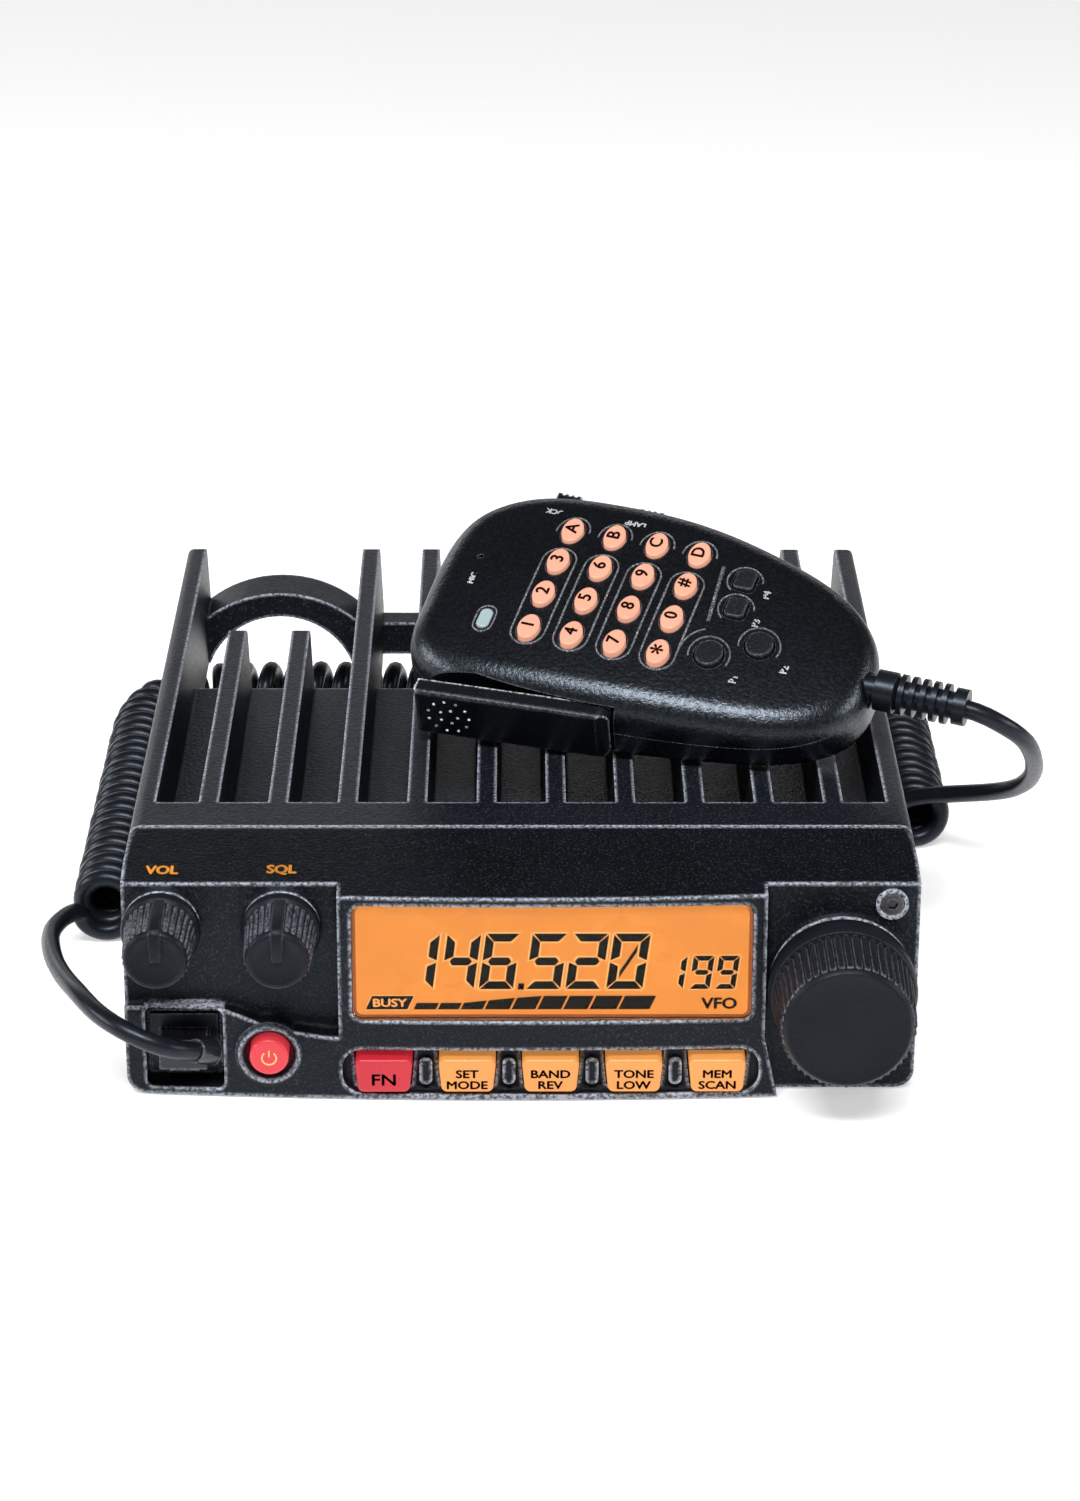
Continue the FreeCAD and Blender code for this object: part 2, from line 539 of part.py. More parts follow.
# ---------------------------------------------------------------- hand microphone, in its own frame
def outline_face(inset, n):
    """The microphone's outline as a face at one height, drawn in by an inset."""
    count = len(OUTLINE)
    points = []
    for index, (u, v) in enumerate(OUTLINE):
        after = OUTLINE[(index + 1) % count]
        before = OUTLINE[index - 1]
        along = V(after[0] - before[0], after[1] - before[1], 0).normalize()
        points.append(V(u + inset * along.y, v - inset * along.x, n))
    curve = Part.BSplineCurve()
    curve.interpolate(points, PeriodicFlag=True)
    return Part.Face(Part.Wire(curve.toShape()))


def face_n(u, v):
    """Height of the crowned face at a place."""
    reach = (u - FACE_CENTRE_U) ** 2 + v ** 2
    return math.sqrt(FACE_RADIUS ** 2 - reach) - FACE_RADIUS


def oval_u(u, v, radius_u, radius_v, n0, n1):
    """An oval post, longer across the microphone than along it."""
    curve = Part.Ellipse(V(u, v, n0), radius_v, radius_u)
    wire = Part.Wire(curve.toShape())
    wire.rotate(V(u, v, n0), Z_AXIS, 90)
    return Part.Face(wire).extrude(V(0, 0, n1 - n0))


def round_box_n(u, v, half_u, half_v, radius, n0, n1):
    """A post with a rounded rectangular section."""
    post = box(u - half_u, u + half_u, v - half_v, v + half_v, n0, n1)
    return post.makeFillet(radius, edges_along(post, Z_AXIS, lambda c: True))


def keypad_place(row, column):
    """Where a keypad key stands on the face."""
    return (column - 1.5) * KEYPAD_PITCH_U, (1.5 - row) * KEYPAD_PITCH_V


def keypad_key(row, column):
    """One oval key of the keypad."""
    u, v = keypad_place(row, column)
    top = face_n(u, v) + 1.0
    key = oval_u(u, v, KEYPAD_RADII[0], KEYPAD_RADII[1], -5.5, top)
    return key.makeFillet(0.45, [edge for edge in key.Edges if edge.BoundBox.ZMin > top - 0.01])


def program_key(index):
    """One of the four programmable keys: two round, two square with round corners."""
    u, v, half_u, half_v = PROGRAM_KEYS[index]
    top = face_n(u, v) + 0.9
    if index < 2:
        key = oval_u(u, v, half_u, half_v, -5.5, top)
    else:
        key = round_box_n(u, v, half_u, half_v, 1.2, -5.5, top)
    return key.makeFillet(0.45, [edge for edge in key.Edges if edge.BoundBox.ZMin > top - 0.01])


def ptt_pocket():
    """The space cut into the near wall for the talk lever."""
    return box(-60, PTT_SPAN[1] + 0.9, -45, -27.4, PTT_FLOOR_N, PTT_ROOF_N)


def handset_solid():
    """The closed outer shape of the microphone, before it is divided into two shells."""
    body = outline_face(0, -32).extrude(V(0, 0, 34))
    dome = Part.makeSphere(FACE_RADIUS, V(FACE_CENTRE_U, 0, -FACE_RADIUS))
    back_axis = V(1, 0, BACK_TAPER)
    belly_start = V(-200, -1, BACK_N + BACK_RADIUS - 200 * BACK_TAPER)
    belly = Part.makeCylinder(BACK_RADIUS, 400, belly_start, back_axis)
    body = body.common(dome).common(belly)
    rim = [edge for edge in body.Edges if edge.BoundBox.ZMin > -9]
    body = body.makeFillet(SHOULDER, rim)
    heel = [edge for edge in body.Edges if edge.BoundBox.ZMax < -14]
    return body.makeFillet(BACK_EDGE, heel)


def handset_hollow():
    """The space inside the microphone, with a lower ceiling at the cord's end."""
    inner = outline_face(SHELL_INSET, -30).extrude(V(0, 0, 25.2))
    inner = inner.cut(box(CEILING_STEP_U, 80, -60, 60, -9.3, 0))
    back_axis = V(1, 0, BACK_TAPER)
    belly_start = V(-200, -1, BACK_N + BACK_RADIUS - 200 * BACK_TAPER)
    belly = Part.makeCylinder(BACK_RADIUS - 2.2, 400, belly_start, back_axis)
    return inner.common(belly)


def switch_recess(index):
    """The shallow seat of a slide switch in the far wall."""
    u = SWITCH_U[index]
    return box(u - 5.2, u + 5.2, 27.2, 40, -9.9, -6.1)


def handset_shells():
    """Front and rear shells, which meet at the parting line."""
    shell = handset_solid().cut(handset_hollow())
    shell = shell.cut(ptt_pocket())
    relief_hole = Part.makeCylinder(3.1, 20, V(48, RELIEF_V, RELIEF_N), X_AXIS)
    shell = shell.cut(relief_hole)
    front_zone = box(-80, 80, -60, 60, PARTING_N, 10)
    rear_zone = box(-80, 80, -60, 60, -60, PARTING_N)
    cutters = [switch_recess(0), switch_recess(1)]
    for row in range(4):
        for column in range(4):
            u, v = keypad_place(row, column)
            cutters.append(oval_u(u, v, KEYPAD_RADII[0] + KEY_GAP, KEYPAD_RADII[1] + KEY_GAP, -8, 2))
    for index, (u, v, half_u, half_v) in enumerate(PROGRAM_KEYS):
        if index < 2:
            cutters.append(oval_u(u, v, half_u + KEY_GAP, half_v + KEY_GAP, -8, 2))
        else:
            cutters.append(round_box_n(u, v, half_u + KEY_GAP, half_v + KEY_GAP, 1.5, -8, 2))
    cutters.append(round_box_n(LENS[0], LENS[1], 1.45, 2.75, 1.4, -8, 2))
    cutters.append(Part.makeCylinder(0.7, 10, V(MIC_HOLE[0], MIC_HOLE[1], -8), Z_AXIS))
    front = shell.common(front_zone).cut(Part.makeCompound(cutters))
    rear = shell.common(rear_zone).cut(rod_z(STUD[0], STUD[1], 2.05, -40, -12))
    screw_holes = [rod_z(u, v, 1.45, -40, PARTING_N + 1) for u, v in SHELL_SCREWS]
    return front, rear.cut(Part.makeCompound(screw_holes))


def indicator_lens():
    """Small pale lens over the transmit lamp."""
    top = face_n(*LENS) + 0.35
    lens = round_box_n(LENS[0], LENS[1], 1.4, 2.7, 1.35, -6.5, top)
    return lens.makeFillet(0.3, [edge for edge in lens.Edges if edge.BoundBox.ZMin > top - 0.01])


def ptt_lever():
    """The talk lever along the near wall, which turns about its end nearest the cord."""
    n0 = PTT_FLOOR_N + 0.5
    n1 = PTT_ROOF_N - 0.5
    left, right = PTT_SPAN
    corners = [V(left, -35.4, n0), V(right - 2.5, -32.0, n0), V(right, -30.4, n0), V(right, -27.9, n0),
               V(left, -31.6, n0)]
    bar = Part.Face(Part.makePolygon(corners + corners[:1])).extrude(V(0, 0, n1 - n0))
    bar = bar.makeFillet(1.0, [edge for edge in bar.Edges if edge.BoundBox.YMax < -31.9])
    return bar.common(slab_y(left - 9, right, n0, n1, PTT_END_RADIUS, -40, -20))


def slide_switch(index):
    """A small slide in the far wall, ribbed for the finger."""
    u = SWITCH_U[index] - 1.5
    slide = box(u - 2.8, u + 2.8, 27.4, 30.4, -9.6, -6.4)
    grooves = [box(u + k * 1.4 - 0.3, u + k * 1.4 + 0.3, 29.9, 31, -10, -6) for k in (-1, 0, 1)]
    return slide.cut(Part.makeCompound(grooves))


def hanger_stud():
    """The round stud on the back that hangs the microphone on its clip."""
    shank = rod_z(STUD[0], STUD[1], 3.0, STUD_END_N + 1.8, BACK_N + BACK_TAPER * STUD[0])
    head = rod_z(STUD[0], STUD[1], 6.0, STUD_END_N, STUD_END_N + 2.0)
    head = head.makeFillet(0.7, [edge for edge in head.Edges if edge.BoundBox.ZMax < STUD_END_N + 0.01])
    return fused([shank, head, rod_z(STUD[0], STUD[1], 2.0, -26.5, -16.0)])


def handset_board():
    """Keypad board inside the microphone, with the talk switch."""
    board = outline_face(SHELL_INSET + 0.8, -9.2).extrude(V(0, 0, 1.4))
    board = board.common(box(-34, 37.6, -19, 19, -10, -7))
    board = board.cut(rod_z(MIC_HOLE[0], MIC_HOLE[1], 5.0, -10, -5))
    return fused([board, box(-18, -10, -19, -12, -15.5, -9.2), box(6, 16, -6, 4, -11.5, -9.2)])


def mic_capsule():
    """Electret capsule behind the sound hole."""
    return rod_z(MIC_HOLE[0], MIC_HOLE[1], 4.5, -11.0, -5.0)


def shell_screws():
    """Three screws that hold the shells together, alike."""
    screws = []
    for u, v in SHELL_SCREWS:
        floor = BACK_N + BACK_TAPER * u + (v + 1) ** 2 / (2 * BACK_RADIUS)
        head = rod_z(u, v, 1.4, floor + 0.6, floor + 2.2)
        slot = box(u - 1.0, u + 1.0, v - 0.2, v + 0.2, floor + 0.5, floor + 1.1)
        screws.append(head.cut(slot).fuse(rod_z(u, v, 1.1, floor + 2.0, PARTING_N)))
    return Part.makeCompound(screws)


def strain_relief():
    """Ribbed rubber relief where the cord enters the microphone."""
    start = 50.5
    core = [(0, start), (3.0, start), (3.0, 58.9), (4.4, 59.1), (4.4, 63.2)]
    for index in range(5):
        u = 64.2 + 2.36 * index
        core += [(2.9, u), (4.35, u), (4.35, u + 1.15), (2.9, u + 1.15)]
    core += [(2.9, 75.9), (3.95, 76.1), (3.95, RELIEF_END), (0, RELIEF_END)]
    corners = [V(u, RELIEF_V + radius, RELIEF_N) for radius, u in core]
    face = Part.Face(Part.makePolygon(corners + corners[:1]))
    solid = face.revolve(V(0, RELIEF_V, RELIEF_N), X_AXIS, 360)
    seat_start = V(RELIEF_END - RELIEF_SEAT_DEPTH, RELIEF_V, RELIEF_N)
    seat = Part.makeCylinder(CORD_DIAMETER / 2, RELIEF_SEAT_DEPTH + 1, seat_start, X_AXIS)
    return solid.cut(seat)


# ---------------------------------------------------------------- cord
def rounded_path(points, radii):
    """Straight runs joined by tangent arcs."""
    edges = []
    start = points[0]
    for index in range(1, len(points) - 1):
        before = (points[index - 1] - points[index]).normalize()
        after = (points[index + 1] - points[index]).normalize()
        turn = math.pi - before.getAngle(after)
        reach = radii[index - 1] * math.tan(turn / 2)
        enter = points[index] + before * reach
        leave = points[index] + after * reach
        inward = (before + after).normalize()
        middle = points[index] + inward * (radii[index - 1] * (1 / math.cos(turn / 2) - 1))
        edges.append(Part.LineSegment(start, enter).toShape())
        edges.append(Part.Arc(enter, middle, leave).toShape())
        start = leave
    edges.append(Part.LineSegment(start, points[-1]).toShape())
    return Part.Wire(edges)


def largest_radii(points):
    """The largest radius that the two runs at each point leave room for."""
    radii = []
    for before, here, after in zip(points, points[1:], points[2:]):
        turn = math.pi - (before - here).getAngle(after - here)
        shorter = min((here - before).Length, (after - here).Length)
        radii.append(0.45 * shorter / math.tan(turn / 2))
    return radii


def round_tube(name, points, radii, diameter):
    """A round section swept along a path of runs and arcs, with its volume compared."""
    path = rounded_path(points, radii)
    section = Part.Wire(Part.makeCircle(diameter / 2, points[0], points[1] - points[0]))
    tube = path.makePipeShell([section], True, True)
    expected = math.pi * diameter ** 2 / 4 * path.Length
    print(f"{name}: length {path.Length:.1f} radii {[round(r, 1) for r in radii]} "
          f"volume {tube.Volume:.1f} of {expected:.1f}")
    return tube


def relief_seat():
    """Where the cord's end sits inside the strain relief."""
    return HANDSET_PLACE.multVec(V(RELIEF_END - RELIEF_SEAT_DEPTH, RELIEF_V, RELIEF_N))


def vectors(points):
    """Route points as vectors."""
    return [V(*point) for point in points]


def cord_lead_radio():
    """The plain end of the cord between the plug and the coil."""
    points = vectors(RADIO_LEAD)
    return round_tube("lead at the set", points, largest_radii(points), CORD_DIAMETER)


def cord_lead_handset():
    """The plain end of the cord between the microphone and the coil."""
    points = [relief_seat()] + vectors(HANDSET_LEAD)
    return round_tube("lead at the microphone", points, largest_radii(points), CORD_DIAMETER)


def cord_coil():
    """Outer shape of the coiled stretch, which lies round the back of the set."""
    z = COIL_DIAMETER / 2
    points = [V(COIL_LEFT_X, COIL_LEFT_FRONT_Y, z), V(COIL_LEFT_X, COIL_BACK_Y, z),
              V(COIL_RIGHT_X, COIL_BACK_Y, z), V(COIL_RIGHT_X, COIL_RIGHT_FRONT_Y, z)]
    return round_tube("coil", points, [COIL_CORNER, COIL_CORNER], COIL_DIAMETER)


def cord_plug():
    """Modular plug in the socket, with its latch and the cord's short grip."""
    body = box(PLUG_X - 4.8, PLUG_X + 4.8, -2.2, 12.0, PLUG_Z - 3.25, PLUG_Z + 3.25)
    latch = box(PLUG_X - 3.0, PLUG_X + 3.0, 0.4, 11.0, PLUG_Z - 4.9, PLUG_Z - 3.2)
    first, second = vectors(RADIO_LEAD[:2])
    along = (second - first).normalize()
    grip = Part.makeCone(3.0, 2.5, 5.0, first - along * 4.6, along)
    well = Part.makeCylinder(CORD_DIAMETER / 2, 3.0, first, along)
    return fused([body, latch, grip]).cut(well)


# ---------------------------------------------------------------- everything
def main():
    """Write every node."""
    os.makedirs("parts", exist_ok=True)
    save("heatsink_chassis", heatsink_chassis())
    save("bottom_cover", bottom_cover())
    save("case_screws", case_screws())
    save("front_panel", front_panel())
    save("display_window", display_window())
    save("lcd_panel", lcd_panel())
    save("display_board", display_board())
    save("panel_controls", panel_controls())
    save("panel_screw", panel_screw())
    save("mic_socket", mic_socket())
    save("antenna_socket", antenna_socket())
    save("flange_screws", flange_screws())
    save("power_inlet", power_inlet())
    save("main_board", main_board())
    save("power_module", power_module())
    save("loudspeaker", loudspeaker())
    save("volume_knob", control_knob(VOLUME_X))
    save("squelch_knob", control_knob(SQUELCH_X))
    save("main_dial", main_dial())
    save("power_button", power_button())
    for index in range(5):
        save(f"function_key_{index + 1}", function_key(index))
    pieces = dict(zip(("handset_front_shell", "handset_rear_shell"), handset_shells()))
    pieces["indicator_lens"] = indicator_lens()
    pieces["ptt_lever"] = ptt_lever()
    pieces["lock_switch"] = slide_switch(0)
    pieces["lamp_switch"] = slide_switch(1)
    pieces["hanger_stud"] = hanger_stud()
    pieces["handset_board"] = handset_board()
    pieces["mic_capsule"] = mic_capsule()
    pieces["shell_screws"] = shell_screws()
    pieces["strain_relief"] = strain_relief()
    for row in range(4):
        for column in range(4):
            pieces["key_" + KEY_NAMES[row][column]] = keypad_key(row, column)
    for index in range(4):
        pieces[f"program_key_{index + 1}"] = program_key(index)
    for node, shape in pieces.items():
        shape.Placement = HANDSET_PLACE.multiply(shape.Placement)
        save(node, shape)
    save("cord_plug", cord_plug())
    save("cord_lead_radio", cord_lead_radio())
    save("cord_coil", cord_coil())
    save("cord_lead_handset", cord_lead_handset())


main()
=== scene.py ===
"""Visual model of a mobile transceiver with its corded hand microphone, in metres."""

import json
import logging
import math
from contextlib import contextmanager
from dataclasses import dataclass, field
from enum import Enum
from typing import Iterable, Iterator, Optional, Sequence

import bmesh
import bpy
from mathutils import Matrix, Vector


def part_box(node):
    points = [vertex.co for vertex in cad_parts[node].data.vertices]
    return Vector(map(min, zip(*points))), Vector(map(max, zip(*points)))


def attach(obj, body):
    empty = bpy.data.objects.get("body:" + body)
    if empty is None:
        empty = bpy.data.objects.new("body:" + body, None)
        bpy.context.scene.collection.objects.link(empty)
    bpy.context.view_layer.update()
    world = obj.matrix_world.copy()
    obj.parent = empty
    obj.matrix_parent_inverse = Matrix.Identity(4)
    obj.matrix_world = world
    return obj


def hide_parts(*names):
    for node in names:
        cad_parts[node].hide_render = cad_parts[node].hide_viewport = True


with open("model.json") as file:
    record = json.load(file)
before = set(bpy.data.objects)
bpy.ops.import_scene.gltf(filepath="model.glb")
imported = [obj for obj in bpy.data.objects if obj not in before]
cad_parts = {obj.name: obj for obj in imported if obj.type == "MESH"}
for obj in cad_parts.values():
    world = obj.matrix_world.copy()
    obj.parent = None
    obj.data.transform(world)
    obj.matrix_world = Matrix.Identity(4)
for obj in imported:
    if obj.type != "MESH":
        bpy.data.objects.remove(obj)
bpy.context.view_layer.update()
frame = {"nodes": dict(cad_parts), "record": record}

logging.basicConfig(level=logging.INFO, format="%(name)s: %(message)s")
LOG = logging.getLogger("transceiver")

MM = 0.001
PANEL_TO_ORIGIN_Y = -81.9 * MM
ROOT_BODY = "set_and_handset"
CAPITAL_SHARE = 0.73  # height of the built-in font's capitals over its size
WELD = 2e-6  # corners nearer than this, in metres, are one
UP = Vector((0.0, 0.0, 1.0))
FRONT = Vector((0.0, -1.0, 0.0))
Point = tuple[float, float, float]
Flat = tuple[float, float]


def at(x: float, y: float, z: float) -> Vector:
    """Place a point given in millimetres about the panel datum.

    Args:
        x: Distance to the right of the middle.
        y: Distance behind the panel's front plane.
        z: Height above the ground.

    Returns:
        The point in metres in the part's frame.
    """
    return Vector((x * MM, y * MM + PANEL_TO_ORIGIN_Y, z * MM))


# ---------------------------------------------------------------- shader groups
class NodeSheet:
    """A node tree under construction, with short calls to add and join nodes."""

    def __init__(self, tree: bpy.types.NodeTree) -> None:
        """Keep the tree."""
        self.tree = tree

    def add(self, kind: str, settings: Optional[dict] = None, **inputs: object) -> bpy.types.Node:
        """Add a node.

        Args:
            kind: Blender's node type.
            settings: Attributes to set on the node.
            inputs: Sockets by name with spaces as underscores; a value or another node's socket.

        Returns:
            The new node.
        """
        node = self.tree.nodes.new(kind)
        for name, value in (settings or {}).items():
            setattr(node, name, value)
        for name, value in inputs.items():
            self.feed(node, name.replace("_", " "), value)
        return node

    def feed(self, node: bpy.types.Node, name: str | int, value: object) -> None:
        """Set one input of a node, or link another node's socket to it."""
        socket = node.inputs[name]
        if isinstance(value, bpy.types.NodeSocket):
            self.tree.links.new(value, socket)
        else:
            socket.default_value = value

    def maths(self, operation: str, first: object, second: object = 0.0,
              clamp: bool = False) -> bpy.types.NodeSocket:
        """Add a Math node and return its result."""
        node = self.tree.nodes.new("ShaderNodeMath")
        node.operation = operation
        node.use_clamp = clamp
        self.feed(node, 0, first)
        self.feed(node, 1, second)
        return node.outputs[0]

    def blend(self, factor: object, first: object, second: object) -> bpy.types.NodeSocket:
        """Add a colour Mix node and return its result."""
        node = self.tree.nodes.new("ShaderNodeMix")
        node.data_type = "RGBA"
        self.feed(node, 0, factor)
        self.feed(node, 6, first)
        self.feed(node, 7, second)
        return node.outputs[2]

    def steps(self, value: object, low: float, high: float, to_low: float = 0.0,
              to_high: float = 1.0) -> bpy.types.NodeSocket:
        """Add a clamped Map Range node and return its result."""
        node = self.tree.nodes.new("ShaderNodeMapRange")
        self.feed(node, 0, value)
        for index, number in enumerate((low, high, to_low, to_high), start=1):
            node.inputs[index].default_value = number
        return node.outputs[0]


def new_group(name: str, inputs: Sequence[tuple[str, float]],
              outputs: Sequence[str]) -> tuple[NodeSheet, bpy.types.Node, bpy.types.Node]:
    """Start a shader node group with number sockets.

    Args:
        name: The group's name.
        inputs: Names and starting values of its inputs.
        outputs: Names of its outputs.

    Returns:
        The sheet to build on, the group's input node and its output node.
    """
    tree = bpy.data.node_groups.new(name, "ShaderNodeTree")
    for label, value in inputs:
        socket = tree.interface.new_socket(label, in_out="INPUT", socket_type="NodeSocketFloat")
        socket.default_value = value
    for label in outputs:
        tree.interface.new_socket(label, in_out="OUTPUT", socket_type="NodeSocketFloat")
    sheet = NodeSheet(tree)
    return sheet, sheet.add("NodeGroupInput"), sheet.add("NodeGroupOutput")


def grain_group() -> bpy.types.NodeTree:
    """Build the fine moulded grain: height, cloudy tone and bright specks."""
    sheet, given, out = new_group("Fine grain",
                                  (("Grain size", 1900.0), ("Cloud size", 60.0), ("Speck amount", 0.5)),
                                  ("Height", "Cloud", "Speck"))
    place = sheet.add("ShaderNodeTexCoord").outputs["Object"]
    grain = sheet.add("ShaderNodeTexNoise", None, Vector=place, Scale=given.outputs["Grain size"],
                      Detail=2.0, Roughness=0.6)
    cloud = sheet.add("ShaderNodeTexNoise", None, Vector=place, Scale=given.outputs["Cloud size"],
                      Detail=3.0, Roughness=0.55)
    size = sheet.maths("MULTIPLY", given.outputs["Grain size"], 1.7)
    speck = sheet.add("ShaderNodeTexNoise", None, Vector=place, Scale=size, Detail=1.0, Roughness=0.5)
    bright = sheet.steps(speck.outputs["Fac"], 0.56, 0.74)
    sheet.feed(out, "Height", grain.outputs["Fac"])
    sheet.feed(out, "Cloud", cloud.outputs["Fac"])
    sheet.feed(out, "Speck", sheet.maths("MULTIPLY", bright, given.outputs["Speck amount"]))
    return sheet.tree


def edge_highlight_group() -> bpy.types.NodeTree:
    """Build a painted highlight for outer edges: a mask that is 1 on convex edges, broken up by a patchy
    noise.
    """
    sheet, given, out = new_group("Painted edge highlight", (("Amount", 0.5), ("Patch size", 1500.0), ("Reach", 0.0004)),
                                  ("Mask",))
    place = sheet.add("ShaderNodeTexCoord").outputs["Object"]
    patch = sheet.add("ShaderNodeTexNoise", None, Vector=place, Scale=given.outputs["Patch size"],
                      Detail=2.0)
    within = sheet.add("ShaderNodeAmbientOcclusion", {"inside": True, "only_local": True, "samples": 6},
                       Distance=given.outputs["Reach"])
    near = sheet.steps(within.outputs["AO"], 0.93, 0.6, 0.0, 1.0)
    broken = sheet.maths("MULTIPLY", near, sheet.steps(patch.outputs["Fac"], 0.38, 0.6, 0.15, 1.0))
    sheet.feed(out, "Mask", sheet.maths("MULTIPLY", broken, given.outputs["Amount"], clamp=True))
    return sheet.tree


@dataclass
class ShaderGroups:
    """The node groups that the finishes share."""

    grain: bpy.types.NodeTree = field(default_factory=grain_group)
    edge_highlight: bpy.types.NodeTree = field(default_factory=edge_highlight_group)


# ---------------------------------------------------------------- finishes
class Surface(Enum):
    """How a finish answers light beyond its colour."""

    SOLID = "solid"
    METAL = "metal"
    CLEAR = "clear"
    LIT = "lit"


@dataclass(frozen=True)
class Finish:
    """One painted, moulded, plated or lit finish.

    Attributes:
        name: The finish's name.
        slot: Material slot of the record that it belongs to.
        colour: Base colour, linear.
        edge: Colour of the painted highlight on convex edges and of the grain's bright specks, linear.
        rough: Roughness of the plain surface.
        surface: What kind of surface it is.
        grain: Scale of the grain per metre.
        bump: Height of the grain.
        edge_highlight: How strongly the painted highlight shows on convex edges.
        speck: How many bright grains show.
        coat: Weight of a clear coat.
        glow: Strength of its own light.
        specular: Specular level.
        mottle: How much the tone varies in patches.
        rounding: Radius to which sharp edges look rounded, in metres.
        reach: Width of the painted edge highlights, in metres.
    """

    name: str
    slot: str
    colour: Point
    edge: Point = (0.16, 0.17, 0.2)
    rough: float = 0.5
    surface: Surface = Surface.SOLID
    grain: float = 1900.0
    bump: float = 0.25
    edge_highlight: float = 0.4
    speck: float = 0.3
    coat: float = 0.0
    glow: float = 0.0
    specular: float = 0.28
    mottle: float = 0.25
    rounding: float = 0.0
    reach: float = 0.0004

    def build(self, groups: ShaderGroups) -> bpy.types.Material:
        """Make the material.

        Args:
            groups: The shared shader groups.

        Returns:
            The new material.
        """
        material = bpy.data.materials.new(self.name)
        material.use_nodes = True
        sheet = NodeSheet(material.node_tree)
        shader = material.node_tree.nodes["Principled BSDF"]
        grain = sheet.add("ShaderNodeGroup", {"node_tree": groups.grain})
        grain.inputs["Grain size"].default_value = self.grain
        grain.inputs["Speck amount"].default_value = self.speck
        edge_highlight = sheet.add("ShaderNodeGroup", {"node_tree": groups.edge_highlight})
        edge_highlight.inputs["Amount"].default_value = self.edge_highlight
        edge_highlight.inputs["Reach"].default_value = self.reach
        dark = tuple((1.0 - self.mottle) * part for part in self.colour) + (1.0,)
        light = tuple(min(1.0, (1.0 + self.mottle) * part) for part in self.colour) + (1.0,)
        tone = sheet.blend(sheet.steps(grain.outputs["Cloud"], 0.3, 0.7), dark, light)
        # Convex edges are painted light in the edge colour, which is a painted highlight; the grain's
        # specks take the same colour.
        bright = sheet.maths("MAXIMUM", grain.outputs["Speck"], edge_highlight.outputs["Mask"])
        colour = sheet.blend(bright, tone, self.edge + (1.0,))
        if self.surface is Surface.LIT:
            dim = sheet.add("ShaderNodeHueSaturation", None, Value=0.4, Color=colour)
            sheet.feed(shader, "Base Color", dim.outputs["Color"])
            sheet.feed(shader, "Emission Color", colour)
            shader.inputs["Emission Strength"].default_value = self.glow
        else:
            sheet.feed(shader, "Base Color", colour)
        rough = sheet.steps(grain.outputs["Height"], 0.25, 0.75, max(0.02, self.rough - 0.07),
                            min(1.0, self.rough + 0.07))
        sheet.feed(shader, "Roughness", rough)
        bump = sheet.add("ShaderNodeBump", None, Strength=self.bump, Distance=0.0003,
                         Height=grain.outputs["Height"])
        if self.rounding > 0.0:
            soft = sheet.add("ShaderNodeBevel", {"samples": 6})
            soft.inputs["Radius"].default_value = self.rounding
            sheet.feed(bump, "Normal", soft.outputs["Normal"])
        sheet.feed(shader, "Normal", bump.outputs["Normal"])
        shader.inputs["Specular IOR Level"].default_value = self.specular
        shader.inputs["Coat Weight"].default_value = self.coat
        shader.inputs["Coat Roughness"].default_value = 0.08
        if self.surface is Surface.METAL:
            shader.inputs["Metallic"].default_value = 1.0
        if self.surface is Surface.CLEAR:
            shader.inputs["Transmission Weight"].default_value = 1.0
            shader.inputs["IOR"].default_value = 1.18
        if self.surface is Surface.SOLID:
            shader.inputs["Specular Tint"].default_value = (0.74, 0.85, 1.0, 1.0)
        return material


FLAT = {"bump": 0.0, "edge_highlight": 0.0, "speck": 0.0}
INK = {**FLAT, "speck": 0.1}
LIT_FLAT = {**FLAT, "surface": Surface.LIT, "grain": 90.0}
LIT_KEY = {**FLAT, "surface": Surface.LIT, "grain": 900.0, "bump": 0.03, "edge_highlight": 0.35, "coat": 0.2,
           "mottle": 0.05, "rounding": 0.0003}
